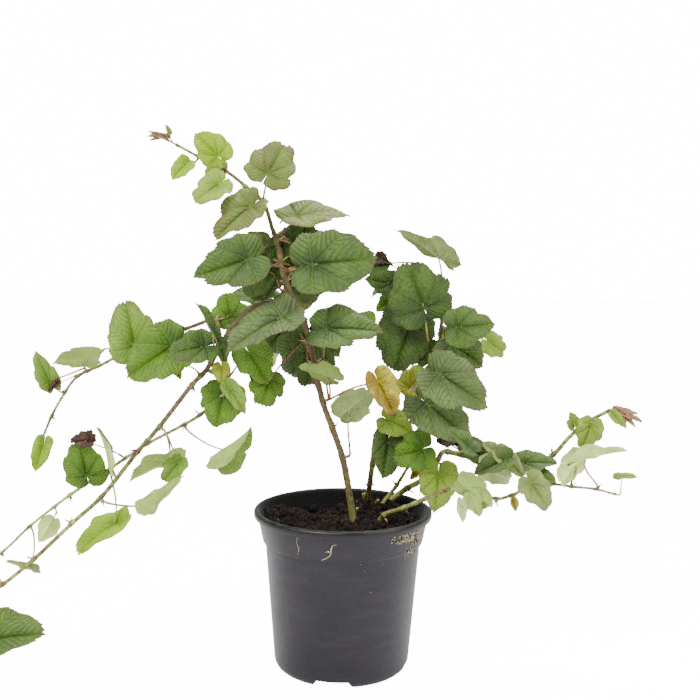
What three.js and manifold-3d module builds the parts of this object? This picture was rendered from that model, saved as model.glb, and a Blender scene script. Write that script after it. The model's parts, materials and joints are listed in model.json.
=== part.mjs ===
// A creeping raspberry with heart-shaped leaves, growing in a plastic nursery pot.
// Millimetres, +Z up. The origin is the centre of the pot's flat underside. The plant's
// widest spread is along X, and its fuller side looks along -Y.
//
// pot        a thrown-over rim, a collar, a tapered wall and a foot with four drain arches
// soil       the compost that fills the pot, heaped a little higher on the left
// canes      tapered stems that follow hand-chosen routes; a side cane starts at its parent
// leaves     one closed solid for each group of leaves that springs from one point of a cane
import * as THREE from 'three';
import Module from 'manifold-3d';
import { mergeVertices } from 'three/addons/utils/BufferGeometryUtils.js';

const wasm = await Module();
wasm.setup();

// ---------------------------------------------------------------- driving dimensions
const CLEARANCE = 0.35;             // gap kept between two nodes that touch on the real plant

const POT = {
  height: 134,
  rimRadius: 75,                    // outside of the rolled rim
  rimDepth: 6.5,                    // how far the rim turns down
  rimRound: 1.7,                    // radius of its rounded edges
  collarTop: 71.2,                  // outer radius just under the rim
  collarFoot: 67.2,                 // outer radius at the collar's lower edge
  collarDepth: 26,                  // from the top of the rim to the collar's lower edge
  ledge: 1,                         // height of the step under the collar
  shoulder: 65,                     // outer radius of the wall just under the collar
  base: 56.4,                       // outer radius of the wall, carried down to the ground
  footRound: 8,                     // radius of the rounded edge at the foot
  wall: 1.7,
  segments: 36,
};

const ARCH = {
  count: 4,
  bearing: -97,                     // degrees from +X of the first arch
  topWidth: 26,
  footWidth: 35,
  height: 5.5,
  roof: 1.8,                        // plastic left over each arch
  reach: 34,                        // how near the pot's axis the recess begins
  drainRadius: 4,
  drainSides: 10,
  drainAt: 43,                      // distance of each drain hole from the axis
};

const SOIL = {
  level: 123,                       // height at the middle
  edgeDrop: 3,                      // how much lower it lies against the wall
  brim: 66.2,                       // radius of its top edge, inside the collar
  lump: 1.6,                        // height of its lumps
  lumpWidth: 5,                     // breadth of one lump, as millimetres to a radian
  sunk: 1,                          // how deep a cane's flat foot stands in it
  pocketSteps: 5,                   // steps of a cane's path that its pocket follows
  segments: 28,
  rings: 4,
};

// Mounds and hollows of the soil: x, y, height and radius.
const MOUNDS = [[-50, -6, 11, 26], [34, 42, 7, 26], [-18, 44, -5, 22]];

const CANE_SIDES = 5;
const CANE_STEPS = 2;                // steps between two points of a cane's route
const STEEP = 0.9;                   // a limb that starts this near upright is measured from -Y
const SPUR = 2.4;                    // straight start of a stalk or side cane, square to its cane
const SWING = 4;                     // how strongly it holds to that way after its start

const STALK = {
  sides: 3,
  steps: 3,
  rootRadius: 1.1,
  tipRadius: 0.5,
  sunk: 4,                           // how far it runs on inside the blade, along the midrib
};

// A blade is drawn about the point where its stalk joins it. Each pair is an angle from the
// tip, in degrees, and the distance from the joint to the edge as a share of blade length.
const BLADE_EDGE = [[0, 1], [24, 0.8], [62, 0.64], [106, 0.54], [154, 0.35]];
const BLADE_THICKNESS = 1.2;
const SMALL_BLADE = 40;              // blades shorter than this get one ring of faces
const STEEPEST_FOLD = 50;            // a blade folded further closes by growing narrower

// width: stretches the blade across its midrib. fold: degrees that each half rises from
// the midrib. droop: how far the tip bends down, as a share of the blade's length.
const KINDS = {
  old: { width: 0.8, fold: 12, droop: 0.16 },
  young: { width: 0.84, fold: 16, droop: 0.1 },
  round: { width: 1.06, fold: 8, droop: 0.08 },
  broad: { width: 0.93, fold: 10, droop: 0.14 },
  slim: { width: 0.56, fold: 20, droop: 0.14 },
  folded: { width: 0.8, fold: 58, droop: 0.18 },
  dying: { width: 0.7, fold: 34, droop: 0.3 },
  bud: { width: 0.26, fold: 30, droop: 0.05 },
};

const FINISHES = {
  pot: { color: 0x35353d, roughness: 0.45 },
  soil: { color: 0x2b2019, roughness: 0.95 },
  cane: { color: 0x6f6a35, roughness: 0.7 },
  oldLeaf: { color: 0x4c7034, roughness: 0.65 },
  youngLeaf: { color: 0x7fa33a, roughness: 0.6 },
  dyingLeaf: { color: 0xb8902f, roughness: 0.8 },
};

// ---------------------------------------------------------------- canes
// girth: diameter at the foot and at the tip. from: the parent cane and the route point
// where it forks. route: the cane's joints, where its leaves spring, as [x, y, z]; a first
// point without z stands on the soil.
const CANES = {
  main_cane: {
    girth: [7.2, 2.2],
    route: [
      [9, -2], [-1, -4, 178], [-18, -8, 226], [-29, -9, 276], [-38, -10, 301],
      [-45, -9, 315], [-51, -8, 331], [-56, -6, 354], [-61, -4, 369], [-68, -2, 388],
      [-83, 2, 401], [-100, 6, 414], [-122, 10, 425], [-141, 12, 435],
    ],
  },
  left_cane: {
    girth: [4.8, 2.6],
    from: ['main_cane', 4.3],
    route: [
      [-62, -13, 307], [-79, -14, 299], [-91, -15, 287], [-103, -16, 268], [-112, -17, 252],
      [-124, -19, 239], [-149, -25, 206], [-166, -28, 186], [-195, -35, 149], [-217, -40, 129],
      [-245, -50, 102], [-267, -57, 84], [-290, -64, 68], [-310, -70, 60], [-324, -74, 61],
    ],
  },
  left_upper_shoot: {
    girth: [3.4, 2],
    from: ['left_cane', 2.6],
    route: [
      [-107, -2, 291], [-128, 6, 285], [-141, 8, 280], [-167, 12, 269], [-191, 14, 259],
      [-208, 16, 250], [-228, 18, 240], [-238, 18, 227], [-250, 18, 206], [-256, 18, 192],
    ],
  },
  left_lower_shoot: {
    girth: [3.2, 2],
    from: ['left_cane', 4],
    route: [
      [-101, -5, 243], [-107, -3, 224], [-120, -3, 212], [-133, -3, 204], [-164, -3, 187],
      [-195, -3, 166], [-229, -3, 143], [-242, -3, 133], [-263, -3, 116], [-287, -3, 93],
      [-312, 0, 74], [-332, 4, 66],
    ],
  },
  right_cane: {
    girth: [4.8, 2.4],
    route: [
      [22, 50], [23, 38, 146], [25, 32, 165], [28, 28, 189], [37, 24, 200],
      [53, 18, 217], [65, 12, 235], [77, 8, 265], [80, 6, 285], [80, 8, 305],
      [76, 10, 325], [64, 12, 337],
    ],
  },
  runner_cane: {
    girth: [6.4, 1.8],
    route: [
      [30, -4], [34, -8, 130], [50, -14, 138], [69, -15, 147], [83, -15, 153], [97, -13, 156],
      [113, -12, 151], [127, -11, 146], [140, -10, 149], [158, -8, 157], [174, -6, 158],
      [190, -6, 156], [211, -6, 154], [227, -6, 150],
    ],
  },
  right_trailing_cane: {
    girth: [5, 2.2],
    route: [
      [36, 44], [56, 36, 143], [69, 28, 153], [80, 18, 171], [85, 14, 180],
      [97, 10, 179], [118, 8, 174], [140, 6, 167], [160, 4, 170], [176, 2, 181],
      [188, 0, 196], [203, -2, 210], [220, -4, 220],
    ],
  },
  short_stem: {
    girth: [3.6, 2.4],
    route: [[33, 34], [46, 25, 148], [55, 16, 166]],
  },
  back_left_shoot: {
    girth: [3.2, 2],
    from: ['main_cane', 3.5],
    route: [[-40, 22, 298], [-50, 58, 303], [-60, 92, 296], [-70, 120, 276], [-76, 138, 250]],
  },
  back_right_shoot: {
    girth: [3, 2],
    from: ['right_cane', 8.5],
    route: [[76, 38, 306], [68, 72, 310], [58, 102, 300], [50, 124, 280], [44, 138, 256]],
  },
};

// ---------------------------------------------------------------- leaves
// For each cane, the groups of leaves at its route points. A group is [route point, leaf,
// leaf, ...], and a leaf is [kind, x, y, z, dx, dy, dz, turn]: x, y, z is where the stalk
// joins the blade, dx, dy, dz runs from there to the tip, and turn is the tilt in degrees
// of the upper face from facing -Y (0) towards the sky (90) or away (180).
const LEAVES = {
  main_cane: [
    [1, ['young', 2, -13, 218, 22, -5, 20, 160]],
    [2, ['dying', 27, -34, 246, 15, -6, -28, 10],
      ['old', -15, -30, 287, 42, -12, 3, 40],
      ['slim', -11, -24, 247, -25, -8, 13, 150]],
    [3, ['broad', -33, 18, 274, -15, 10, -36, 10],
      ['round', -63, -8, 243, -4, -7, -23, 15],
      ['old', -26, 40, 276, 20, 26, -16, 150]],
    [5.2, ['old', -50, -34, 296, -44, -16, -21, 55],
      ['old', -61, 16, 333, -31, 12, -18, 20],
      ['old', -44, 22, 322, 20, 16, -14, 5]],
    [6, ['old', -77, -28, 342, -39, -15, -13, 8],
      ['old', -26, -38, 338, 50, -14, 7, 10],
      ['old', -44, 34, 338, 22, 30, 6, 150]],
    [7.5, ['old', -41, -8, 375, 44, 14, 10, 45],
      ['broad', -40, 14, 350, 23, 16, 15, 5],
      ['old', -68, 28, 352, -22, 28, -2, 150]],
    [9, ['old', -77, -13, 384, -30, -8, -24, 35],
      ['round', -64, -10, 410, 15, 7, 28, 10]],
    [11, ['young', -103, -9, 402, -20, -10, -16, 20],
      ['broad', -105, -2, 425, -17, -10, 17, 10],
      ['young', -105, 16, 413, -18, 14, 1, 20]],
    [12, ['young', -132, 6, 419, -12, -5, -13, 20]],
    [13, ['bud', -151, 13, 441, -16, 0, 0, 30],
      ['slim', -147, 12, 445, -3, 0, 7, 30]],
  ],
  left_cane: [
    [3, ['slim', -103, -35, 279, -10, -3, 29, 76],
      ['old', -111, -30, 272, -27, -12, -4, 20]],
    [6, ['slim', -137, -36, 179, -36, -8, -10, 128],
      ['young', -132, -38, 179, -11, -6, -15, 20]],
    [8, ['slim', -149, -49, 146, 23, -11, 29, 128]],
    [12, ['old', -279, -74, 44, 50, -16, 17, 52]],
    [13.4, ['young', -312, -58, 84, -14, 12, 26, 10],
      ['young', -322, -90, 46, -20, -18, -10, 60],
      ['bud', -328, -75, 64, -13, -2, 5, 40]],
  ],
  left_upper_shoot: [
    [0, ['round', -95, 6, 292, -5, 4, 23, 10]],
    [2, ['young', -141, -10, 270, -37, -12, -25, 42],
      ['young', -150, 30, 272, -16, 26, -8, 150]],
    [3, ['young', -176, 10, 267, -7, -6, 41, 5]],
    [5.5, ['old', -213, 3, 257, -28, -8, 1, 140],
      ['slim', -211, 12, 258, 11, 2, 9, 60],
      ['slim', -247, 6, 237, -10, -8, 25, 5]],
    [9, ['slim', -256, 14, 183, -6, -6, -23, 10]],
  ],
  left_lower_shoot: [
    [0, ['young', -79, -10, 266, 17, -10, -25, 15],
      ['round', -98, -18, 233, -5, -8, -28, 5],
      ['slim', -99, -27, 255, 2, -2, -14, 20]],
    [3, ['folded', -103, -11, 183, 29, -10, 17, -60]],
    [5, ['broad', -211, -16, 163, -4, -10, 31, 0],
      ['slim', -192, -19, 172, -4, 0, 33, 75],
      ['old', -185, -21, 124, -33, -12, -17, 68]],
    [7, ['young', -243, -10, 121, -8, -8, -14, 160]],
    [8, ['round', -258, -16, 84, -19, -8, 9, 100]],
    [10.6, ['young', -320, -10, 90, -16, -10, 20, 20],
      ['young', -316, 20, 60, -14, 20, -12, 150],
      ['bud', -336, 5, 68, -13, 2, 4, 40]],
  ],
  right_cane: [
    [4, ['young', 37, 10, 208, 22, -6, -10, 20],
      ['old', 38, 8, 192, -4, -8, -32, 5]],
    [5.4, ['old', 68, -10, 225, 36, -16, -27, 25],
      ['old', 76, -32, 252, 37, -14, -22, 16],
      ['dying', 55, 6, 224, -8, -6, 13, 30],
      ['broad', 57, 30, 232, 14, 10, 19, 10]],
    [7, ['broad', 54, 4, 289, -13, -6, -41, 5],
      ['round', 64, -16, 304, -15, -10, 38, 5],
      ['old', 60, 34, 300, -14, 30, 10, 150]],
    [8, ['broad', 90, -23, 289, 29, -8, 4, 10],
      ['broad', 88, -3, 274, 27, -7, -18, 10],
      ['young', 121, 14, 275, 17, 6, -11, 10],
      ['old', 94, 38, 284, 20, 28, -8, 150]],
    [10, ['old', 79, 0, 343, -36, -12, 27, 118]],
    [11, ['old', 38, 4, 323, -21, -8, 4, 10],
      ['young', 38, 10, 309, -12, -4, -9, 10],
      ['old', 30, 10, 340, -14, -4, -9, 10]],
  ],
  runner_cane: [
    [5.6, ['old', 99, -26, 160, 23, -9, -14, 150],
      ['old', 104, -29, 152, 7, -8, -14, 155],
      ['slim', 97, -26, 146, 1, -3, -15, 160]],
    [8, ['old', 152, -29, 164, 15, -7, -20, 10],
      ['dying', 140, -16, 146, 3, -2, -9, 10]],
    [11, ['old', 195, -6, 177, -19, -9, -17, 160]],
    [12, ['slim', 192, -29, 183, 33, -9, 15, 125]],
    [13, ['young', 229, -8, 165, 14, -5, 2, 80]],
  ],
  right_trailing_cane: [
    [3, ['broad', 80, 4, 164, -2, -8, -32, 15]],
    [5.5, ['broad', 127, -2, 166, -14, -8, 17, 160],
      ['slim', 132, -14, 177, -16, -6, 20, 50],
      ['slim', 129, -22, 185, 18, -6, -16, 20]],
    [7, ['old', 150, -4, 175, 25, -10, 4, 58],
      ['young', 157, 26, 166, 20, 18, -9, 150]],
    [10.5, ['young', 191, -6, 208, -4, -4, 11, 10],
      ['broad', 203, -12, 209, -7, -2, -21, 10]],
    [12, ['bud', 228, -5, 219, 19, 0, -9, 30],
      ['slim', 222, -10, 217, 10, -5, -9, 20]],
  ],
  short_stem: [
    [2, ['round', 66, -3, 186, -26, -10, -6, 5],
      ['dying', 62, 6, 170, -4, -2, -13, 10]],
  ],
  back_left_shoot: [
    [1.5, ['old', -34, 74, 316, 32, 12, 12, 60],
      ['old', -72, 72, 308, -34, 8, 8, 60],
      ['old', -48, 106, 306, 28, 24, 10, 150]],
    [3.4, ['broad', -82, 118, 282, -34, 14, -16, 150],
      ['young', -80, 146, 246, -10, 16, -26, 150],
      ['young', -58, 142, 262, 24, 14, -8, 150]],
  ],
  back_right_shoot: [
    [1.5, ['old', 66, 80, 324, 26, 12, -16, 60],
      ['old', 44, 84, 322, -20, 10, -9, 120],
      ['old', 72, 116, 312, 20, 28, 8, 150]],
    [3.4, ['broad', 22, 118, 281, -26, 14, -9, 150],
      ['young', 54, 146, 258, -4, 14, -24, 150],
      ['young', 62, 142, 268, 24, 14, -6, 150]],
  ],
};

// ---------------------------------------------------------------- helpers
const UP = new THREE.Vector3(0, 0, 1);
const FRONT = new THREE.Vector3(0, -1, 0);

function vector(point) {
  return new THREE.Vector3(point[0], point[1], point[2]);
}

function radians(degrees) {
  return THREE.MathUtils.degToRad(degrees);
}

// A geometry's faces as a solid that can be joined and cut.
function solidOf(geometry) {
  const bare = geometry.clone();
  bare.deleteAttribute('normal');
  bare.deleteAttribute('uv');
  const merged = mergeVertices(bare, 1e-4);
  return new wasm.Manifold(new wasm.Mesh({
    numProp: 3,
    vertProperties: new Float32Array(merged.attributes.position.array),
    triVerts: new Uint32Array(merged.index.array),
  }));
}

function geometryOf(solid) {
  const mesh = solid.getMesh();
  const geometry = new THREE.BufferGeometry();
  geometry.setAttribute('position', new THREE.BufferAttribute(mesh.vertProperties, 3));
  geometry.setIndex(new THREE.BufferAttribute(mesh.triVerts, 1));
  geometry.computeVertexNormals();
  return geometry;
}

function indexedGeometry(points, faces) {
  const geometry = new THREE.BufferGeometry();
  const numbers = points.flatMap((point) => [point.x, point.y, point.z]);
  geometry.setAttribute('position', new THREE.Float32BufferAttribute(numbers, 3));
  geometry.setIndex(faces.flat());
  return geometry;
}

// A closed, tapering tube through a list of points: one ring of corners at each point,
// turned with the path as little as possible, and a flat cap at each end.
function limb(points, radii, sides) {
  const last = points.length - 1;
  const corners = [];
  const faces = [];
  let side = new THREE.Vector3();
  points.forEach((point, i) => {
    const ahead = points[Math.min(i + 1, last)].clone().sub(points[Math.max(i - 1, 0)]);
    const along = ahead.normalize();
    if (i === 0) {
      side = Math.abs(along.z) < STEEP ? UP.clone() : FRONT.clone();
    }
    side.addScaledVector(along, -side.dot(along)).normalize();
    const across = along.clone().cross(side);
    for (let k = 0; k < sides; k += 1) {
      const turn = (2 * Math.PI * k) / sides;
      corners.push(point.clone()
        .addScaledVector(side, radii[i] * Math.cos(turn))
        .addScaledVector(across, radii[i] * Math.sin(turn)));
    }
  });
  for (let i = 0; i < last; i += 1) {
    for (let k = 0; k < sides; k += 1) {
      const next = (k + 1) % sides;
      const [a, b] = [i * sides + k, i * sides + next];
      faces.push([a, b, b + sides], [a, b + sides, a + sides]);
    }
  }
  for (let k = 1; k < sides - 1; k += 1) {
    faces.push([0, k + 1, k]);
    faces.push([last * sides, last * sides + k, last * sides + k + 1]);
  }
  return indexedGeometry(corners, faces);
}

// ---------------------------------------------------------------- pot
// The wall's outline from the axis, along the underside, up the outside, over the rim and
// back down the inside to the axis.
function potOutline() {
  const { height, base, footRound, shoulder, ledge, wall, rimRadius, rimDepth, rimRound } = POT;
  const collarStart = height - POT.collarDepth;
  const outline = [[0, 0], [base - footRound, 0]];
  for (const angle of [-60, -30, 0]) {
    const turn = radians(angle);
    outline.push([
      base - footRound * (1 - Math.cos(turn)),
      footRound * (1 + Math.sin(turn)),
    ]);
  }
  outline.push([shoulder, collarStart - ledge]);
  outline.push([POT.collarFoot, collarStart]);
  outline.push([POT.collarTop, height - rimDepth]);
  outline.push([rimRadius - rimRound, height - rimDepth]);
  outline.push([rimRadius, height - rimDepth + rimRound]);
  outline.push([rimRadius, height - rimRound]);
  outline.push([rimRadius - rimRound, height]);
  outline.push([POT.collarTop + ledge, height]);
  outline.push([POT.collarTop - wall, height - rimRound]);
  outline.push([POT.collarFoot - wall, collarStart + ledge]);
  outline.push([shoulder - wall, collarStart - 2 * ledge]);
  outline.push([base - wall, footRound]);
  outline.push([base - footRound, wall]);
  outline.push([0, wall]);
  return outline;
}

function lathe(outline, segments) {
  const points = outline.map(([radius, height]) => new THREE.Vector2(radius, height));
  return new THREE.LatheGeometry(points, segments).rotateX(Math.PI / 2);
}

// The recess under one drain arch, or the block of plastic that roofs it, grown by a margin.
function archPrism(bearing, margin, foot) {
  const { topWidth, footWidth, height, reach } = ARCH;
  const shape = new THREE.Shape();
  shape.moveTo(-footWidth / 2 - margin, foot);
  shape.lineTo(footWidth / 2 + margin, foot);
  shape.lineTo(topWidth / 2 + margin, height + margin);
  shape.lineTo(-topWidth / 2 - margin, height + margin);
  shape.closePath();
  const depth = POT.base - reach + POT.wall + margin;
  const prism = new THREE.ExtrudeGeometry(shape, { depth, bevelEnabled: false });
  prism.rotateX(Math.PI / 2);
  prism.translate(0, -reach + margin, 0);
  prism.rotateZ(radians(bearing + 90));
  return prism;
}

function archBearings() {
  return Array.from({ length: ARCH.count }, (_, k) => ARCH.bearing + (360 / ARCH.count) * k);
}

function potSolid() {
  const outline = potOutline();
  const outside = outline.slice(0, outline.findIndex(([radius]) => radius === POT.collarTop));
  const filled = solidOf(lathe([...outside, [0, POT.height - POT.collarDepth]], POT.segments));
  let pot = solidOf(lathe(outline, POT.segments));
  for (const bearing of archBearings()) {
    const roof = solidOf(archPrism(bearing, ARCH.roof, POT.wall / 2));
    pot = pot.add(roof.intersect(filled));
  }
  for (const bearing of archBearings()) {
    pot = pot.subtract(solidOf(archPrism(bearing, 0, -1)));
    const { drainRadius } = ARCH;
    const drain = new THREE.CylinderGeometry(drainRadius, drainRadius, POT.height / 4, ARCH.drainSides);
    drain.rotateX(Math.PI / 2);
    drain.translate(ARCH.drainAt, 0, 0);
    drain.rotateZ(radians(bearing));
    pot = pot.subtract(solidOf(drain));
  }
  return pot;
}

// ---------------------------------------------------------------- soil
// Height of the soil at a point: level, a drop towards the wall, mounds, and lumps, which
// are two crossed waves.
function soilHeight(x, y) {
  const drop = SOIL.edgeDrop * (Math.hypot(x, y) / SOIL.brim) ** 3;
  const [u, v] = [x / SOIL.lumpWidth, y / SOIL.lumpWidth];
  const lumps = Math.sin(u) * Math.cos(v) + Math.sin((u - v) / 2);
  const mounds = MOUNDS.map(([centreX, centreY, height, radius]) => (
    height / Math.exp((Math.hypot(x - centreX, y - centreY) / radius) ** 2)));
  return SOIL.level - drop + SOIL.lump * lumps / 2 + mounds.reduce((sum, mound) => sum + mound);
}

function soilSolid(standing) {
  const { segments, rings, brim } = SOIL;
  const inset = POT.wall + 2 * CLEARANCE;
  const collarStart = POT.height - POT.collarDepth;
  const side = [
    [POT.base - POT.footRound, POT.wall + CLEARANCE],
    [POT.base - inset, POT.footRound],
    [POT.shoulder - inset - CLEARANCE, collarStart - 2],
    [POT.collarFoot - inset, collarStart + 3],
  ];
  const points = [new THREE.Vector3(0, 0, POT.wall + CLEARANCE)];
  const ring = (radius, heightAt) => {
    for (let k = 0; k < segments; k += 1) {
      const turn = (2 * Math.PI * k) / segments;
      const [x, y] = [radius * Math.cos(turn), radius * Math.sin(turn)];
      points.push(new THREE.Vector3(x, y, heightAt(x, y)));
    }
  };
  side.forEach(([radius, height]) => ring(radius, () => height));
  for (let i = rings; i > 0; i -= 1) {
    ring((brim * i) / rings, soilHeight);
  }
  points.push(new THREE.Vector3(0, 0, soilHeight(0, 0)));
  const faces = [];
  const ringCount = side.length + rings;
  for (let k = 0; k < segments; k += 1) {
    const next = (k + 1) % segments;
    faces.push([0, 1 + next, 1 + k]);
    for (let i = 0; i < ringCount - 1; i += 1) {
      const [low, high] = [1 + i * segments, 1 + (i + 1) * segments];
      faces.push([low + k, low + next, high + next], [low + k, high + next, high + k]);
    }
    const top = 1 + (ringCount - 1) * segments;
    faces.push([top + k, top + next, points.length - 1]);
  }
  let soil = solidOf(indexedGeometry(points, faces));
  for (const bearing of archBearings()) {
    soil = soil.subtract(solidOf(archPrism(bearing, ARCH.roof + CLEARANCE, POT.wall / 2)));
  }
  for (const name of standing) {
    soil = soil.subtract(caneSolid(name, CLEARANCE, SOIL.pocketSteps));
  }
  return soil;
}

// ---------------------------------------------------------------- canes
// The radius thins evenly from foot to tip.
function caneRadius(name, share) {
  const [foot, tip] = CANES[name].girth;
  return THREE.MathUtils.lerp(foot, tip, share) / 2;
}

// A point of the route by its number, which may lie between two, and the way it runs there.
function onCane(name, number) {
  const { curve, first } = routes[name];
  const share = (number - first) / (curve.points.length - 1);
  return {
    point: curve.getPoint(share),
    along: curve.getTangent(share),
    radius: caneRadius(name, share),
  };
}

// Where something that grows out of a cane towards one or more targets begins, and its
// first way. From the cane's end that is straight on. Elsewhere it is square to the cane, in
// the middle of the narrowest arc that takes in every target.
function springFrom(name, number, targets) {
  const { point, along, radius } = onCane(name, number);
  if (number === CANES[name].route.length - 1) {
    return { start: point.addScaledVector(along, CLEARANCE), out: along };
  }
  const side = FRONT.clone().addScaledVector(along, -FRONT.dot(along)).normalize();
  const across = along.clone().cross(side);
  const turns = targets
    .map((target) => target.clone().sub(point))
    .map((way) => Math.atan2(way.dot(across), way.dot(side)))
    .sort((a, b) => a - b);
  const ends = [...turns.slice(1), turns[0] + 2 * Math.PI];
  const gaps = turns.map((turn, i) => ends[i] - turn);
  const widest = gaps.indexOf(Math.max(...gaps));
  const middle = (turns[widest] + ends[widest]) / 2 + Math.PI;
  const out = side.multiplyScalar(Math.cos(middle)).addScaledVector(across, Math.sin(middle));
  return { start: point.addScaledVector(out, radius + CLEARANCE), out };
}

const routes = {};
for (const [name, { from, route }] of Object.entries(CANES)) {
  const points = route.map(([x, y, z = soilHeight(x, y) - SOIL.sunk]) => new THREE.Vector3(x, y, z));
  let first = 0;
  if (from) {
    const { start, out } = springFrom(from[0], from[1], [points[0]]);
    points.unshift(start, start.clone().addScaledVector(out, SPUR));
    first = -2;
  }
  routes[name] = { curve: new THREE.CatmullRomCurve3(points, false, 'centripetal'), first };
}

// A cane, or the room that its first steps take up: grown by a margin and begun earlier.
function caneSolid(name, margin = 0, steps = Infinity) {
  const { curve } = routes[name];
  const count = (curve.points.length - 1) * CANE_STEPS;
  const points = curve.getPoints(count).slice(0, steps);
  points[0].addScaledVector(curve.getTangent(0), -margin);
  const radii = points.map((_, i) => caneRadius(name, i / count) + margin);
  return solidOf(limb(points, radii, CANE_SIDES));
}

// ---------------------------------------------------------------- leaves
// The blade's axes: along the midrib, out of the upper face, and across. A face at turn 90
// looks up, or towards +X where the midrib stands upright.
function bladeAxes(leaf) {
  const along = vector(leaf.slice(4, 7)).normalize();
  const front = FRONT.clone().addScaledVector(along, -FRONT.dot(along)).normalize();
  const rise = front.clone().cross(along);
  if (rise.z + rise.x / 3 < 0) {
    rise.negate();
  }
  const turn = radians(leaf[7]);
  const face = front.multiplyScalar(Math.cos(turn)).addScaledVector(rise, Math.sin(turn));
  return { along, face, across: face.clone().cross(along) };
}

// A heart-shaped blade: rays from the joint to the edge, with rings of points along them,
// on a surface whose halves rise from the midrib and whose tip droops.
function blade(leaf) {
  const { width, fold, droop } = KINDS[leaf[0]];
  const size = vector(leaf.slice(4, 7)).length();
  const { along, face, across } = bladeAxes(leaf);
  const joint = vector(leaf.slice(1, 4));
  const shares = size > SMALL_BLADE ? [0.5, 1] : [1];
  const half = BLADE_EDGE.slice(1);
  const rays = [...half.map(([angle, reach]) => [-angle, reach]).reverse(), BLADE_EDGE[0], ...half];
  const rise = Math.min(fold, STEEPEST_FOLD);
  const narrow = Math.cos(radians(fold)) / Math.cos(radians(rise));
  const upper = [new THREE.Vector3()];
  rays.forEach(([angle, reach]) => shares.forEach((share) => {
    const turn = radians(angle);
    const s = share * reach * Math.cos(turn);
    const w = share * reach * Math.sin(turn) * width;
    const lift = Math.abs(w) * Math.tan(radians(rise)) - droop * s * Math.abs(s);
    upper.push(new THREE.Vector3(s, w * narrow, lift));
  }));
  const place = (point, depth) => joint.clone()
    .addScaledVector(along, point.x * size)
    .addScaledVector(across, point.y * size)
    .addScaledVector(face, point.z * size - depth);
  const points = [
    ...upper.map((point) => place(point, 0)),
    ...upper.map((point) => place(point, BLADE_THICKNESS)),
  ];
  const under = upper.length;
  const at = (ray, ring) => 1 + ray * shares.length + ring;
  const faces = [];
  const rim = [0];
  const bothSides = (a, b, c) => faces.push([a, b, c], [under + a, under + c, under + b]);
  for (let ray = 0; ray < rays.length - 1; ray += 1) {
    bothSides(0, at(ray, 0), at(ray + 1, 0));
    for (let ring = 0; ring < shares.length - 1; ring += 1) {
      bothSides(at(ray, ring), at(ray, ring + 1), at(ray + 1, ring + 1));
      bothSides(at(ray, ring), at(ray + 1, ring + 1), at(ray + 1, ring));
    }
  }
  shares.forEach((_, ring) => rim.push(at(0, ring)));
  for (let ray = 1; ray < rays.length; ray += 1) {
    rim.push(at(ray, shares.length - 1));
  }
  for (let ring = shares.length - 2; ring >= 0; ring -= 1) {
    rim.push(at(rays.length - 1, ring));
  }
  rim.forEach((a, i) => {
    const b = rim[(i + 1) % rim.length];
    faces.push([a, under + a, under + b], [a, under + b, b]);
  });
  return solidOf(indexedGeometry(points, faces));
}

// The stalk leaves the cane straight, swings towards the blade and runs on under the
// midrib, so that its end lies well inside the blade.
function stalk({ start, out }, leaf) {
  const joint = vector(leaf.slice(1, 4));
  const { along, face } = bladeAxes(leaf);
  const size = vector(leaf.slice(4, 7)).length();
  const spur = Math.min(SPUR, start.distanceTo(joint) / 3);
  const bend = start.clone().addScaledVector(out, spur);
  const reach = bend.distanceTo(joint);
  const end = joint.clone()
    .addScaledVector(along, Math.min(STALK.sunk, size / 4))
    .addScaledVector(face, -BLADE_THICKNESS / 2);
  const arrive = joint.clone().sub(bend).normalize().add(along).normalize();
  const curve = new THREE.CubicBezierCurve3(
    bend,
    bend.clone().addScaledVector(out, Math.min(SWING, reach / 3)),
    end.clone().addScaledVector(arrive, -reach / 3),
    end,
  );
  const points = [start, ...curve.getPoints(STALK.steps)];
  const { lerp } = THREE.MathUtils;
  const radii = points.map((_, i) => lerp(STALK.rootRadius, STALK.tipRadius, i / (STALK.steps + 1)));
  return solidOf(limb(points, radii, STALK.sides));
}

// ---------------------------------------------------------------- assembly
const model = new THREE.Group();

function addMesh(name, solid, finish) {
  const material = new THREE.MeshStandardMaterial({ ...finish, metalness: 0 });
  const mesh = new THREE.Mesh(geometryOf(solid), material);
  mesh.name = name;
  model.add(mesh);
}

function leafFinish(kind) {
  if (kind === 'dying') {
    return FINISHES.dyingLeaf;
  }
  return ['young', 'bud', 'round'].includes(kind) ? FINISHES.youngLeaf : FINISHES.oldLeaf;
}

const standing = Object.keys(CANES).filter((name) => !CANES[name].from);
addMesh('pot', potSolid(), FINISHES.pot);
addMesh('soil', soilSolid(standing), FINISHES.soil);
for (const name of Object.keys(CANES)) {
  addMesh(name, caneSolid(name), FINISHES.cane);
}
for (const [caneName, groups] of Object.entries(LEAVES)) {
  groups.forEach(([number, ...leaves], i) => {
    const joints = leaves.map((leaf) => vector(leaf.slice(1, 4)));
    const spring = springFrom(caneName, number, joints);
    const parts = leaves.flatMap((leaf) => [stalk(spring, leaf), blade(leaf)]);
    const joined = parts.reduce((whole, part) => whole.add(part));
    addMesh(`${caneName}_leaves_${i + 1}`, joined, leafFinish(leaves[0][0]));
  });
}

export default model;
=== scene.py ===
# %% [markdown]
# # A creeping raspberry in a nursery pot
#
# The plant is a tangle of arching and trailing canes with heart-shaped, puckered leaves, and
# it grows in a dark plastic pot. Canes, stalks and blades could be modelled by hand, one
# vertex at a time, but a plant is the same few rules used again and again: a tapering tube
# along a route, and a blade drawn about the point where its stalk joins it. So every shape
# here is a rule worked out with numpy on whole arrays, and only the routes and the places of
# the leaves are listed.
#
# The imported model is the fixed frame, and it is loaded first. Nothing that is made here
# may grow past it.

# %% Load the frame
import json
import math

import bpy
import numpy as np
from mathutils import Matrix

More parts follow.
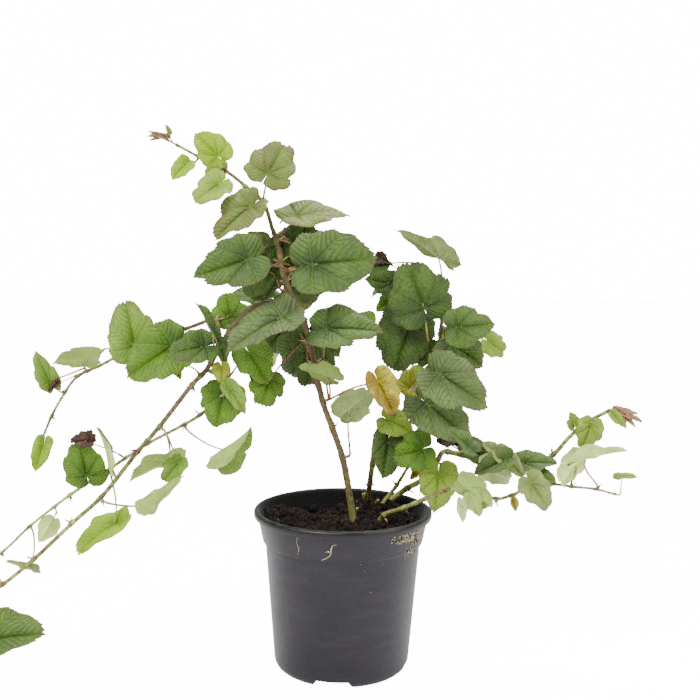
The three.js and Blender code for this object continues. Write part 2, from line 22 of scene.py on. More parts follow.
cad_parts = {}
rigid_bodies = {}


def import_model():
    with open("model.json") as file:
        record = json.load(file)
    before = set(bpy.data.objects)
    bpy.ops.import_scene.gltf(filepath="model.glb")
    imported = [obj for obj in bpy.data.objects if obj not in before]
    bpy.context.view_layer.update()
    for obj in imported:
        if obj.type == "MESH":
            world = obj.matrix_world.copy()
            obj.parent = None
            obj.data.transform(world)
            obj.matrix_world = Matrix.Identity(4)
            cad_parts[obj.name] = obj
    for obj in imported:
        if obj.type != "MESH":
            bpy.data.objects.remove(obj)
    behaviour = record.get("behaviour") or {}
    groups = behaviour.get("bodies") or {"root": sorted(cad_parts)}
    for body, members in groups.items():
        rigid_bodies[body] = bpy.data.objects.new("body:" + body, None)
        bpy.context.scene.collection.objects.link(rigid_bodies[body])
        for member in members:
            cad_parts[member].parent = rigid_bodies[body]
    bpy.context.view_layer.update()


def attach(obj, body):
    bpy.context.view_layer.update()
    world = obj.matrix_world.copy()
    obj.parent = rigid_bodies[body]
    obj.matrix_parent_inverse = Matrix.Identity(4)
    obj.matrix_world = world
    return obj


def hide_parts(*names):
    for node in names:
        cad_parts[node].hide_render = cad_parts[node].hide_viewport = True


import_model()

# %% [markdown]
# ## Arrays become meshes
#
# Blender keeps a mesh as flat lists: the points, the corners of all the faces one after
# another, and where each face starts. `foreach_set` fills such a list from a numpy array in
# one go, which is far quicker than adding faces one by one. A small class holds the arrays
# until then, so that hundreds of leaves can be joined before Blender sees them. Lengths are
# millimetres up to that moment, and metres in the mesh.

# %% Shapes, and how they are joined and made into pieces
MM = 0.001


class Shape:
    """Points, blocks of faces as (corners, finish) pairs, and named values for each point."""

    def __init__(self, points, faces, **values):
        self.points = np.asarray(points, float)
        self.faces = [(np.asarray(corners), finish) for corners, finish in faces if len(corners)]
        self.values = {name: np.asarray(value, float) for name, value in values.items()}


def join(shapes):
    """Many shapes as one: each shape's corners are moved on by the points before it."""
    offsets = np.cumsum([0] + [len(shape.points) for shape in shapes[:-1]])
    blocks = {}
    for shape, offset in zip(shapes, offsets):
        for corners, finish in shape.faces:
            blocks.setdefault((corners.shape[1], finish), []).append(corners + offset)
    faces = [(np.concatenate(parts), finish) for (_, finish), parts in blocks.items()]
    values = {
        name: np.concatenate([shape.values[name] for shape in shapes]) for name in shapes[0].values
    }
    return Shape(np.concatenate([shape.points for shape in shapes]), faces, **values)


def make_mesh(name, shape):
    """A mesh filled from a shape's arrays, smooth all over, that carries the shape's values."""
    corners = np.concatenate([block.ravel() for block, _ in shape.faces]).astype(np.int32)
    counts = np.concatenate([np.full(len(block), block.shape[1]) for block, _ in shape.faces])
    finishes = np.concatenate([np.full(len(block), finish) for block, finish in shape.faces])
    starts = np.concatenate([[0], np.cumsum(counts)[:-1]]).astype(np.int32)
    mesh = bpy.data.meshes.new(name)
    mesh.vertices.add(len(shape.points))
    mesh.vertices.foreach_set("co", (shape.points * MM).astype(np.float32).ravel())
    mesh.loops.add(len(corners))
    mesh.loops.foreach_set("vertex_index", corners)
    mesh.polygons.add(len(counts))
    mesh.polygons.foreach_set("loop_start", starts)
    mesh.polygons.foreach_set("material_index", finishes.astype(np.int32))
    for value_name, value in shape.values.items():
        kind, field = ("FLOAT", "value") if value.ndim == 1 else ("FLOAT_VECTOR", "vector")
        attribute = mesh.attributes.new(value_name, kind, "POINT")
        attribute.data.foreach_set(field, value.astype(np.float32).ravel())
    mesh.update(calc_edges=True)
    mesh.shade_smooth()
    return mesh


made = {}


def new_object(name, data):
    """An object in the scene that shows a mesh, a lamp or a camera."""
    thing = bpy.data.objects.new(name, data)
    bpy.context.scene.collection.objects.link(thing)
    return thing


def make_piece(name, shape, materials, nodes=(), crease=None):
    """A piece that rides on the plant's one body and stands for the named CAD nodes. Edges
    sharper than the crease, in degrees, stay sharp. Its triangles are counted in made."""
    mesh = make_mesh(name, shape)
    if crease:
        mesh.set_sharp_from_angle(angle=math.radians(crease))
    for material in materials:
        mesh.materials.append(material)
    piece = new_object(name, mesh)
    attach(piece, "root")
    if nodes:
        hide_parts(*nodes)
    made[name] = sum(len(block) * (block.shape[1] - 2) for block, _ in shape.faces)


print("one millimetre in the mesh:", MM)

# %% [markdown]
# ## A few rules that everything shares
#
# Bark, soil and leaves all need a soft random relief. A noise texture could give it in the
# shader, but real height shows in the outline and in the exported mesh, so here it is a sum
# of plane waves with seeded directions. `through` draws a smooth curve through a few chosen
# values, and `tube` carries a ring along a path.

# %% Unit vectors, waves and smooth curves
def unit(vectors):
    """Each vector divided by its length."""
    return vectors / np.linalg.norm(vectors, axis=-1, keepdims=True)


def full_turn(count):
    """Angles spread evenly round a circle, in radians."""
    return np.arange(count) * 2 * np.pi / count


def waves(points, wavelength, seed, count=10):
    """The sum of plane waves of about one wavelength, each with its own way and phase,
    divided by the square root of their number, so that it lies mostly between -1 and 1."""
    rng = np.random.default_rng(seed)
    lengths = wavelength * rng.uniform(0.7, 1.4, (count, 1))
    ways = unit(rng.normal(size=(count, 3))) * (2 * np.pi / lengths)
    phases = rng.uniform(0, 2 * np.pi, count)
    return np.sin(points @ ways.T + phases).sum(axis=-1) / math.sqrt(count)


def through(knots, x):
    """A curve through (x, y) knots: between two knots a cubic, whose slope at each knot is
    that of the values on either side of it."""
    xs, ys = np.array(knots, float).T
    slopes = np.gradient(ys, xs)
    i = np.clip(np.searchsorted(xs, x) - 1, 0, len(xs) - 2)
    width = xs[i + 1] - xs[i]
    t = np.clip((x - xs[i]) / width, 0, 1)
    start = (2 * t**3 - 3 * t**2 + 1) * ys[i] + (t**3 - 2 * t**2 + t) * width * slopes[i]
    return start + (3 * t**2 - 2 * t**3) * ys[i + 1] + (t**3 - t**2) * width * slopes[i + 1]


print("half way up a curve:", float(through([(0, 0), (1, 1)], 0.5)))


# %% Rings, tubes and copies
def ring_quads(rings, sides):
    """The quads between neighbouring rings of corners, numbered ring by ring."""
    i, k = np.meshgrid(np.arange(rings - 1), np.arange(sides), indexing="ij")
    a, b = i * sides + k, i * sides + (k + 1) % sides
    return np.stack([a, b, b + sides, a + sides], axis=-1).reshape(-1, 4)


def closed_rings(rings, first, last, **values):
    """Rings of points joined side to side, with a fan round a first point and one round a
    last point as ends. Each value is given once for each ring."""
    count, sides = rings.shape[:2]
    k = np.arange(sides)
    following, end = (k + 1) % sides, (count - 1) * sides
    foot = np.stack([np.full(sides, count * sides), following, k], axis=-1)
    tip = np.stack([np.full(sides, count * sides + 1), end + k, end + following], axis=-1)
    spread = {
        name: np.concatenate([np.repeat(value, sides), value[:1], value[-1:]])
        for name, value in values.items()
    }
    points = np.concatenate([rings.reshape(-1, 3), [first, last]])
    return Shape(points, [(ring_quads(count, sides), 0), (np.concatenate([foot, tip]), 0)], **spread)


def frames(path):
    """The way a path runs at each point, and two ways square to it. The first starts from the
    direction in which the whole path runs least, so it never turns over."""
    along = unit(np.gradient(path, axis=0))
    least = np.linalg.svd(along, full_matrices=False)[2][-1]
    side = unit(least - (along @ least)[:, None] * along)
    return along, side, np.cross(along, side)


def tube(path, radii, sides, relief=None, **values):
    """Round each path point a ring: radius times cosine of the turn along one side vector,
    plus radius times sine along the other. Relief, a share of the radius, is a function of
    the ring's number and the turn. Each value is given once for each ring."""
    _, side, across = frames(path)
    turns = full_turn(sides)
    ring = np.cos(turns)[:, None] * side[:, None] + np.sin(turns)[:, None] * across[:, None]
    reach = np.repeat(radii[:, None], sides, axis=1)
    if relief is not None:
        reach = reach * (1 + relief)
    return closed_rings(path[:, None] + reach[..., None] * ring, path[0], path[-1], **values)


def scattered(template, faces, places, axes):
    """Copies of one small shape: each template point times the copy's three axes, moved to
    its place. The axes hold the copy's size."""
    points = places[:, None] + np.einsum("tk,nkd->ntd", template, axes)
    offsets = np.arange(len(places))[:, None, None] * len(template)
    moved = [((corners + offsets).reshape(-1, corners.shape[1]), 0) for corners in faces]
    return Shape(points.reshape(-1, 3), moved)

# %% [markdown]
# ## Camera, floor and light
#
# The camera stands 0.8 m away at about three quarters of the plant's height and looks down
# by five degrees. It could be aimed with a constraint, but a place and two turns written as a
# matrix are exact and stay put. The floor and the world are pale, and three large soft lamps
# give an even studio light with a gentle pool of shade under the pot.

# %% Camera
CAMERA_PLACE = (0.0043, -0.8, 0.3406)
CAMERA_DOWN = 0.091               # radians below the horizon
CAMERA_ROLL = 0.012               # radians, right side lower
FOCAL_SHARE = 968 / 700           # focal length as a share of the picture's width

camera = new_object("camera", bpy.data.cameras.new("camera"))
camera.data.sensor_width = 36
camera.data.lens = camera.data.sensor_width * FOCAL_SHARE
camera.data.clip_start = 0.02
camera.matrix_world = (
    Matrix.Translation(CAMERA_PLACE)
    @ Matrix.Rotation(math.pi / 2 - CAMERA_DOWN, 4, "X")
    @ Matrix.Rotation(CAMERA_ROLL, 4, "Z")
)
bpy.context.scene.camera = camera
print("lens", round(camera.data.lens, 2), "mm")


# %% Node helpers
def add_node(tree, kind, **settings):
    node = tree.nodes.new(kind)
    for name, value in settings.items():
        setattr(node, name, value)
    return node


def feed(tree, socket, value):
    """A socket takes either another node's output or a plain value."""
    if isinstance(value, bpy.types.NodeSocket):
        tree.links.new(value, socket)
    else:
        socket.default_value = value


def calculate(tree, operation, *inputs):
    """The result of a math node."""
    node = add_node(tree, "ShaderNodeMath", operation=operation)
    for socket, value in zip(node.inputs, inputs):
        feed(tree, socket, value)
    return node.outputs[0]


def times(tree, first, second):
    return calculate(tree, "MULTIPLY", first, second)


def plus(tree, first, second):
    return calculate(tree, "ADD", first, second)


def minus(tree, first, second):
    return calculate(tree, "SUBTRACT", first, second)


def larger(tree, first, second):
    return calculate(tree, "MAXIMUM", first, second)


def components(tree, vector):
    """The three parts of a vector, each a value."""
    node = add_node(tree, "ShaderNodeSeparateXYZ")
    feed(tree, node.inputs[0], vector)
    return node.outputs


def surface_normal(tree):
    return add_node(tree, "ShaderNodeNewGeometry").outputs["Normal"]


def span(tree, value, low, high, to_low=0.0, to_high=1.0):
    """A value between low and high, eased, as a value between two others."""
    node = add_node(tree, "ShaderNodeMapRange", interpolation_type="SMOOTHSTEP")
    for socket, item in zip(node.inputs, (value, low, high, to_low, to_high)):
        feed(tree, socket, item)
    return node.outputs[0]


def mixed(tree, share, first, second):
    """Two colours mixed by a share."""
    node = add_node(tree, "ShaderNodeMix", data_type="RGBA")
    feed(tree, node.inputs[0], share)
    feed(tree, node.inputs[6], first)
    feed(tree, node.inputs[7], second)
    return node.outputs[2]


# %% Colours and materials
def linear(red, green, blue):
    """A colour of the screen, each part from 0 to 255, as the light that Blender works in."""
    parts = np.array([red, green, blue]) / 255
    light = np.where(parts <= 0.04045, parts / 12.92, ((parts + 0.055) / 1.055) ** 2.4)
    return (*light.tolist(), 1.0)


def new_material(name, **constants):
    """A Principled material, its plain values set on the shader's own sockets."""
    material = bpy.data.materials.new(name)
    material.use_nodes = True
    shader = material.node_tree.nodes["Principled BSDF"]
    for socket, value in constants.items():
        shader.inputs[socket.replace("_", " ")].default_value = value
    return material, material.node_tree, shader


print("middle grey as light:", round(linear(128, 128, 128)[0], 3))

# %% Floor and world
PAPER = 16.0                       # brightness of the backdrop where the camera sees it
LAMPLIGHT = 2.0                    # what the lamps give the floor, which glows that much less
GLOW = 0.1                         # the floor's glow for every ray that isn't the camera's
SKY = 0.37                         # brightness of the world as a light
FLOOR_RADIUS, FLOOR_SIDES = 9000, 96


def camera_only(tree, seen, unseen):
    """A strength that the camera sees, and another for every other ray."""
    is_camera = add_node(tree, "ShaderNodeLightPath").outputs["Is Camera Ray"]
    return plus(tree, unseen, times(tree, is_camera, seen - unseen))


floor_material, floor_tree, floor_shader = new_material(
    "pale_floor", Base_Color=(0.9, 0.9, 0.9, 1), Roughness=0.6, Emission_Color=(1, 1, 1, 1)
)
floor_strength = camera_only(floor_tree, PAPER - LAMPLIGHT, GLOW)
feed(floor_tree, floor_shader.inputs["Emission Strength"], floor_strength)
turns = full_turn(FLOOR_SIDES)
disc = np.column_stack([FLOOR_RADIUS * np.cos(turns), FLOOR_RADIUS * np.sin(turns), 0 * turns])
floor_mesh = make_mesh("floor", Shape(disc, [(np.arange(FLOOR_SIDES)[None], 0)]))
floor_mesh.materials.append(floor_material)
floor = new_object("floor", floor_mesh)

world = bpy.context.scene.world or bpy.data.worlds.new("studio")
bpy.context.scene.world = world
world.use_nodes = True
backdrop = world.node_tree.nodes["Background"]
backdrop.inputs["Color"].default_value = (1, 1, 1, 1)
feed(world.node_tree, backdrop.inputs["Strength"], camera_only(world.node_tree, PAPER, SKY))
print("floor:", FLOOR_RADIUS * MM, "m in radius; sky", SKY)

# %% Lamps
LAMPS = {
    # place and aim in metres, side of the square lamp in metres, power in watts
    "key": ((-0.8, -1.0, 1.5), (0, 0, 0.22), 0.9, 44),
    "fill": ((1.2, -0.8, 0.9), (0, 0, 0.2), 1.1, 16),
    "top": ((0.2, 0.5, 1.7), (0, 0, 0.2), 1.2, 44),
}
for name, (place, aim, side, power) in LAMPS.items():
    lamp = bpy.data.lights.new(name, "AREA")
    lamp.size = side
    lamp.energy = power
    holder = new_object(name, lamp)
    way = np.array(aim) - place
    holder.rotation_euler = (
        math.atan2(math.hypot(way[0], way[1]), -way[2]),
        0,
        math.atan2(way[1], way[0]) - math.pi / 2,
    )
    holder.location = place
print("lamps:", ", ".join(LAMPS))


# %% [markdown]
# ## Effects that several finishes share
#
# Plastic, soil, bark and leaves all have a fine grain, and the pot has dust. Each
# effect could be built again in every material, but a node group is built once and placed
# where it is needed with its own numbers. Groups give only masks and heights here. The
# shader itself stays in the material.

# %% Node groups: grain and dust
def new_group(name, inputs, outputs):
    """An empty shader group. An input whose default is a tuple takes a vector, and any other
    a number. Every output is a number."""
    tree = bpy.data.node_groups.new(name, "ShaderNodeTree")
    for label, default in inputs.items():
        kind = "NodeSocketVector" if isinstance(default, tuple) else "NodeSocketFloat"
        socket = tree.interface.new_socket(label, in_out="INPUT", socket_type=kind)
        socket.default_value = default
    for label in outputs:
        tree.interface.new_socket(label, in_out="OUTPUT", socket_type="NodeSocketFloat")
    return tree, tree.nodes.new("NodeGroupInput").outputs, tree.nodes.new("NodeGroupOutput").inputs


def noise(tree, vector, scale, detail=3.0, roughness=0.55):
    """A cloudy value from 0 to 1. Its scale is in clouds to the metre."""
    node = add_node(tree, "ShaderNodeTexNoise")
    inputs = {"Vector": vector, "Scale": scale, "Detail": detail, "Roughness": roughness}
    for label, value in inputs.items():
        feed(tree, node.inputs[label], value)
    return node.outputs[0]


def make_grain():
    """Two sizes of noise: broad patches, and a fine grain that also gives a height."""
    inputs = {"Vector": (0, 0, 0), "Patch Scale": 40.0, "Grain Scale": 900.0}
    tree, given, result = new_group("Grain", inputs, ["Patches", "Grain", "Height"])
    patches = span(tree, noise(tree, given["Vector"], given["Patch Scale"]), 0.35, 0.65)
    fine = noise(tree, given["Vector"], given["Grain Scale"], 4.0, 0.6)
    feed(tree, result["Patches"], patches)
    feed(tree, result["Grain"], span(tree, fine, 0.3, 0.7))
    feed(tree, result["Height"], fine)
    return tree


def make_dust():
    """Dust lies on what faces the sky, more in some patches than in others."""
    inputs = {"Vector": (0, 0, 0), "Scale": 60.0, "Amount": 0.5}
    tree, given, result = new_group("Dust", inputs, ["Dust"])
    upward = span(tree, components(tree, surface_normal(tree))["Z"], -0.2, 1.0)
    patches = span(tree, noise(tree, given["Vector"], given["Scale"], 5.0, 0.7), 0.42, 0.7)
    feed(tree, result["Dust"], times(tree, times(tree, upward, patches), given["Amount"]))
    return tree


GROUPS = {"grain": make_grain(), "dust": make_dust()}
print("groups:", ", ".join(group.name for group in GROUPS.values()))

# %% Node group: the veins of a leaf
RIB_FAN = (40, 50)                 # degrees from midrib to first side rib, and on to the next
RIB_HOLD = 0.68                    # the share of each step that belongs to the rib nearer the tip
VEIN_LEAN = 0.75                   # how far a vein runs forward for each step away from its rib
VEIN_CURVE = 0.9                   # and how much more it bends forward as it nears the edge
VEIN_SPACING = 0.11                # between two veins, as a share of the blade's length
RUNGS_A_VEIN = 2.6                 # fine cross veins to each step between two veins
VEIN_WANDER = 0.16                 # how far noise bends the veins, as a share of the length


def make_veins():
    """The blade's own coordinates, s along the midrib and w across it, become masks. Each
    point belongs to one rib. The distance along that rib, less the lean and the curve of
    the veins, counts them: whole numbers lie on a vein. The distance beside the rib counts
    the fine cross veins in the same way."""
    outputs = ["Ribs", "Veins", "Rungs", "Quilt", "Heart", "Margin"]
    inputs = {"Blade": (0, 0, 0), "Place": (0, 0, 0)}
    tree, given, result = new_group("Leaf veins", inputs, outputs)
    s, w, share = components(tree, given["Blade"])
    distance = calculate(tree, "SQRT", plus(tree, times(tree, s, s), times(tree, w, w)))
    turn = calculate(tree, "ABSOLUTE", calculate(tree, "ARCTAN2", w, s))
    first, second = (math.radians(angle) for angle in RIB_FAN)
    past_first = calculate(tree, "GREATER_THAN", turn, first * RIB_HOLD)
    past_second = calculate(tree, "GREATER_THAN", turn, first + second * RIB_HOLD)
    rib = plus(tree, times(tree, past_first, first), times(tree, past_second, second))
    off = minus(tree, turn, rib)
    along = times(tree, distance, calculate(tree, "COSINE", off))
    beside = calculate(tree, "ABSOLUTE", times(tree, distance, calculate(tree, "SINE", off)))
    wander = times(tree, noise(tree, given["Place"], 55.0, 2.0), VEIN_WANDER)
    lean = times(tree, beside, plus(tree, VEIN_LEAN, times(tree, beside, VEIN_CURVE)))
    leaned = minus(tree, plus(tree, along, wander), lean)
    apart = calculate(tree, "PINGPONG", calculate(tree, "DIVIDE", leaned, VEIN_SPACING), 0.5)
    rung = calculate(tree, "DIVIDE", plus(tree, beside, wander), VEIN_SPACING / RUNGS_A_VEIN)
    ladder = calculate(tree, "PINGPONG", rung, 0.5)
    off_rib = span(tree, beside, 0.0, 0.035)
    between = times(tree, span(tree, apart, 0.0, 0.45), span(tree, ladder, 0.0, 0.4, 0.55, 1.0))
    masks = {
        "Ribs": span(tree, beside, 0.003, 0.018, 1.0, 0.0),
        "Veins": span(tree, apart, 0.0, 0.2, 1.0, 0.0),
        "Rungs": times(tree, span(tree, ladder, 0.0, 0.38, 1.0, 0.0), off_rib),
        "Quilt": times(tree, between, off_rib),
        "Heart": span(tree, distance, 0.05, 0.62, 1.0, 0.0),
        "Margin": span(tree, share, 0.86, 1.0),
    }
    for label, mask in masks.items():
        feed(tree, result[label], mask)
    return tree


GROUPS["veins"] = make_veins()
print("with the veins:", ", ".join(GROUPS))


def place_group(tree, name, **inputs):
    """A group placed in a material with its own numbers."""
    node = add_node(tree, "ShaderNodeGroup", node_tree=GROUPS[name])
    for label, value in inputs.items():
        feed(tree, node.inputs[label.replace("_", " ")], value)
    return node.outputs


def object_place(tree):
    """Where a point is on the whole plant, in metres."""
    return add_node(tree, "ShaderNodeTexCoord").outputs["Object"]


def dress(tree, shader, colour, rough, height, distance, strength):
    """Colour, roughness, and a height that tilts the light, as if the surface rose by the
    distance, in metres."""
    feed(tree, shader.inputs["Base Color"], colour)
    feed(tree, shader.inputs["Roughness"], rough)
    bump = add_node(tree, "ShaderNodeBump")
    bump.inputs["Strength"].default_value = strength
    bump.inputs["Distance"].default_value = distance
    feed(tree, bump.inputs["Height"], height)
    feed(tree, shader.inputs["Normal"], bump.outputs["Normal"])


# %% [markdown]
# ## The pot
#
# A nursery pot is moulded in thin polypropylene: a tapered wall, a collar that widens above a
# small step, a rolled rim, and a foot raised on four drain arches. It could be a cylinder
# that is scaled and extruded, but its whole form is one outline turned about the axis, so it
# is written as that outline, with its corners rounded. The arches and drain holes are then
# cut by a Boolean, as a punch would.

# %% Pot sizes and outline
POT_HEIGHT, POT_RIM = 134, 75               # the rim's radius
POT_FOOT, POT_FLOOR = 56.4, 1.7             # the foot's radius and the floor's thickness
WALL_TOP = (65, 107)                        # radius and height where the tapered wall ends
COLLAR = [(67.2, 108), (71.2, 127.6)]       # radius and height at its foot and under the rim
POT_SEGMENTS = 144
# Radius, height and rounding of each corner, from the axis out, up, over the rim and back.
POT_CORNERS = [
    (0, 0, 0), (POT_FOOT, 0, 8), (*WALL_TOP, 0.7), (*COLLAR[0], 0.8), (*COLLAR[1], 0.8),
    (74.1, 127.4, 1.3), (POT_RIM, 130.8, 1.6), (74.2, POT_HEIGHT, 1.9), (70.6, POT_HEIGHT, 1.5),
    (69.3, 130, 1), (65.5, 109, 1), (63.3, 106, 1), (54.7, POT_FLOOR, 6), (0, POT_FLOOR, 0),
]


def rounded(corners, steps=5):
    """An outline cut back from each corner by its rounding, and bent through the corner by a
    quadratic curve: start, corner and end weighted by (1-t)^2, 2t(1-t) and t^2."""
    line = np.array([corner[:2] for corner in corners], float)
    outline = [line[:1]]
    t = np.linspace(0, 1, steps + 1)[:, None]
    for before, corner, after, (_, _, rounding) in zip(line, line[1:], line[2:], corners[1:]):
        start = corner + unit(before - corner) * rounding
        end = corner + unit(after - corner) * rounding
        outline.append((1 - t) ** 2 * start + 2 * t * (1 - t) * corner + t**2 * end)
    return np.concatenate(outline + [line[-1:]])


def lathe(outline, segments):
    """An outline of (radius, height) turned about the axis: a ring for each point, and a fan
    at each end, which lies on the axis."""
    turns = full_turn(segments)
    radius, height = outline[1:-1].T[..., None]
    rings = np.stack([radius * np.cos(turns), radius * np.sin(turns), height + 0 * turns], axis=-1)
    return closed_rings(rings, (0, 0, outline[0][1]), (0, 0, outline[-1][1]))


pot_outline = rounded(POT_CORNERS)
print("pot outline:", len(pot_outline), "points")

# %% Drain arches and holes
ARCH_BEARINGS = [-97, -7, 83, 173]          # degrees round the axis
ARCH_TOP, ARCH_FOOT, ARCH_HEIGHT = 26, 35, 6.4
ARCH_ROOF = 1.8                             # thickness of the plastic over an arch
ARCH_REACH = 34                             # an arch starts this far from the axis
DRAIN_RADIUS, DRAIN_AT, DRAIN_SIDES = 4, 43, 24


def arch_block(bearing, margin, foot):
    """The trapezium of one arch, carried outward from near the axis past the wall."""
    near, far = ARCH_REACH - margin, POT_FOOT + 3
    half_foot, half_top = ARCH_FOOT / 2 + margin, ARCH_TOP / 2 + margin
    top = ARCH_HEIGHT + margin
    face = np.array([[-half_foot, foot], [half_foot, foot], [half_top, top], [-half_top, top]])
    points = np.array([[x, -y, z] for y in (far, near) for x, z in face])
    turn = math.radians(bearing + 90)
    c, s = math.cos(turn), math.sin(turn)
    spun = np.array([[c, s, 0], [-s, c, 0], [0, 0, 1]])
    faces = [[0, 1, 2, 3], [7, 6, 5, 4], [0, 4, 5, 1], [1, 5, 6, 2], [2, 6, 7, 3], [3, 7, 4, 0]]
    return Shape(points @ spun, [(np.array(faces), 0)])


def drain(bearing):
    """A short upright rod through the floor."""
    turn = math.radians(bearing)
    centre = np.array([DRAIN_AT * math.cos(turn), DRAIN_AT * math.sin(turn), 0])
    path = centre + np.array([[0, 0, -4], [0, 0, 8], [0, 0, 20]])
    return tube(path, np.full(3, float(DRAIN_RADIUS)), DRAIN_SIDES)


print("drain arches and holes:", len(ARCH_BEARINGS))


# %% The pot, cut out
def cut(target, operation, shapes):
    """The target mesh joined with, cut by or limited to some closed shapes. The manifold
    solver keeps closed meshes closed, also where their faces meet in one plane."""
    holder = new_object("target", target)
    tool = new_object("tool", make_mesh("tool", join(shapes)))
    modifier = holder.modifiers.new("cut", "BOOLEAN")
    modifier.operation = operation
    modifier.object = tool
    modifier.solver = "MANIFOLD"
    evaluated = holder.evaluated_get(bpy.context.evaluated_depsgraph_get())
    result = bpy.data.meshes.new_from_object(evaluated)
    for thing in (holder, tool):
        bpy.data.objects.remove(thing)
    return result


def as_shape(mesh):
    """A mesh's points and triangles as a shape."""
    points = np.zeros(len(mesh.vertices) * 3, np.float32)
    mesh.vertices.foreach_get("co", points)
    mesh.calc_loop_triangles()
    corners = np.zeros(len(mesh.loop_triangles) * 3, np.int32)
    mesh.loop_triangles.foreach_get("vertices", corners)
    return Shape(points.reshape(-1, 3) / MM, [(corners.reshape(-1, 3), 0)])


# The roofs over the arches are larger blocks, limited to the form of the pot filled solid.
collar = np.argmax(pot_outline[:, 1] > COLLAR[0][1] + 1)
filled = np.concatenate([pot_outline[:collar], [[0, pot_outline[collar - 1][1]]]])
roof_blocks = [arch_block(bearing, ARCH_ROOF, 0.8) for bearing in ARCH_BEARINGS]
roofs = cut(make_mesh("filled", lathe(filled, POT_SEGMENTS)), "INTERSECT", roof_blocks)
pot_mesh = cut(make_mesh("pot", lathe(pot_outline, POT_SEGMENTS)), "UNION", [as_shape(roofs)])
pot_mesh = cut(pot_mesh, "DIFFERENCE", [arch_block(bearing, 0, -1) for bearing in ARCH_BEARINGS])
pot_mesh = cut(pot_mesh, "DIFFERENCE", [drain(bearing) for bearing in ARCH_BEARINGS])
print("pot:", len(pot_mesh.polygons), "faces")

# %% [markdown]
# ## The pot's plastic
#
# Recycled plastic is a satin near black with a violet cast, smudged and dusty outside, and
# rougher and darkened with painted shade inside; the rim's near black is partly painted shade
# too. One flat colour would look like a hole. So smudges, dust, the painted shade inside and
# the dark rim are masks, worked out from where a point is and how it faces, that are mixed in.

# %% Pot finish
RIM_FOOT, RIM_BLEND = 0.1272, 0.0008    # where the rolled rim begins, and over what height its partly painted shade blends in
INWARD = (-0.03, -0.005)           # place times normal, below 0 where a wall faces the axis
OVER_FLOOR = (0.05, 0.06)          # the painted shade inside fades in between these heights, above the foot


def pot_plastic():
    """Dark satin plastic: near black on the rim, partly painted shade of the rolled lip, a little
    paler and more violet below, and rougher and darkened with painted shade on the inside.
    Broad level smudges, fine grain, rubbed patches, and dust that clings to what faces up. A
    sheen makes the sides paler where they turn away."""
    material, tree, shader = new_material(
        "pot_plastic", Specular_IOR_Level=0.43, IOR=1.48, Sheen_Weight=0.2, Sheen_Roughness=0.35
    )
    place = object_place(tree)
    level = components(tree, place)["Z"]
    grain = place_group(tree, "grain", Vector=place, Patch_Scale=38.0, Grain_Scale=1400.0)
    dust = place_group(tree, "dust", Vector=place, Scale=90.0, Amount=0.24)["Dust"]
    stretch = add_node(tree, "ShaderNodeMapping")
    feed(tree, stretch.inputs["Vector"], place)
    stretch.inputs["Scale"].default_value = (0.4, 0.4, 2.2)
    smudge = span(tree, noise(tree, stretch.outputs[0], 70.0, 4.0, 0.6), 0.42, 0.7)
    # partly painted shade: from its foot up, the rim is turned near black for the shade of the
    # rolled lip
    rim = span(tree, level, RIM_FOOT, RIM_FOOT + RIM_BLEND)
    outward = add_node(tree, "ShaderNodeVectorMath", operation="DOT_PRODUCT")
    feed(tree, outward.inputs[0], place)
    feed(tree, outward.inputs[1], surface_normal(tree))
    # painted shade: walls that face the axis, above the foot, are darkened as shade inside the pot
    facing_in = span(tree, outward.outputs["Value"], *INWARD, 1.0, 0.0)
    inside = times(tree, facing_in, span(tree, level, *OVER_FLOOR))
    colour = mixed(tree, grain["Patches"], linear(14, 7, 19), linear(20, 11, 26))
    colour = mixed(tree, times(tree, smudge, 0.24), colour, linear(50, 44, 58))
    # the rim near black: partly painted shade of the rolled lip
    colour = mixed(tree, times(tree, rim, 0.85), colour, linear(4, 3, 5))
    colour = mixed(tree, dust, colour, linear(96, 88, 82))
    # painted shade on the inside walls
    colour = mixed(tree, times(tree, inside, 0.9), colour, linear(5, 2, 3))
    satin = span(tree, grain["Grain"], 0.0, 1.0, 0.36, 0.46)
    matte = plus(tree, times(tree, dust, 0.3), times(tree, inside, 0.4))
    height = plus(tree, times(tree, smudge, 0.3), grain["Height"])
    dress(tree, shader, colour, plus(tree, satin, matte), height, 0.00012, 0.5)
    return material


make_piece("nursery_pot", as_shape(pot_mesh), [pot_plastic()], ["pot"], crease=32)
print("nursery_pot:", made["nursery_pot"], "triangles")

# %% [markdown]
# ## The soil
#
# Peat compost with bark and roots in it: a lumpy surface, loose crumbs, pale bits and dry
# fibres. One displaced disc would look like a blanket, so there are three layers. The ground
# is a fine polar grid raised by the same mounds as the model and by waves of three sizes.
# Crumbs are copies of one twenty-faced lump, each stretched its own way, and the fibres are
# thin bent tubes. All of them are joined into a few pieces.

# %% Soil height
SOIL_LEVEL, SOIL_DROP, SOIL_BRIM = 123, 3, 66.2
SOIL_EDGE = 67.6                   # the soil's surface meets the inside of the collar
MOUNDS = [(-50, -6, 11, 26), (34, 42, 7, 26), (-18, 44, -5, 22)]    # x, y, rise, radius
PRESSED = [(-26, 36, -5, 24), (-60, -16, 2.5, 14)]    # finer ones that the model leaves out
SOIL_WAVES = [(13, 1, 10, 1.4), (6, 2, 10, 1.1), (2.5, 3, 14, 0.45)]    # as waves, and height


def heaped(height, x, y, mounds):
    """A height plus bells: each the rise over e to the square of distance by radius."""
    for mound_x, mound_y, rise, radius in mounds:
        height = height + rise / np.exp((np.hypot(x - mound_x, y - mound_y) / radius) ** 2)
    return height


def soil_height(x, y):
    """Level, less a drop that grows as the cube of the distance from the middle, plus bell
    shaped mounds, plus lumps that are two crossed waves."""
    level = SOIL_LEVEL - SOIL_DROP * (np.hypot(x, y) / SOIL_BRIM) ** 3
    u, v = x / 5, y / 5
    return heaped(level, x, y, MOUNDS) + 0.8 * (np.sin(u) * np.cos(v) + np.sin((u - v) / 2))


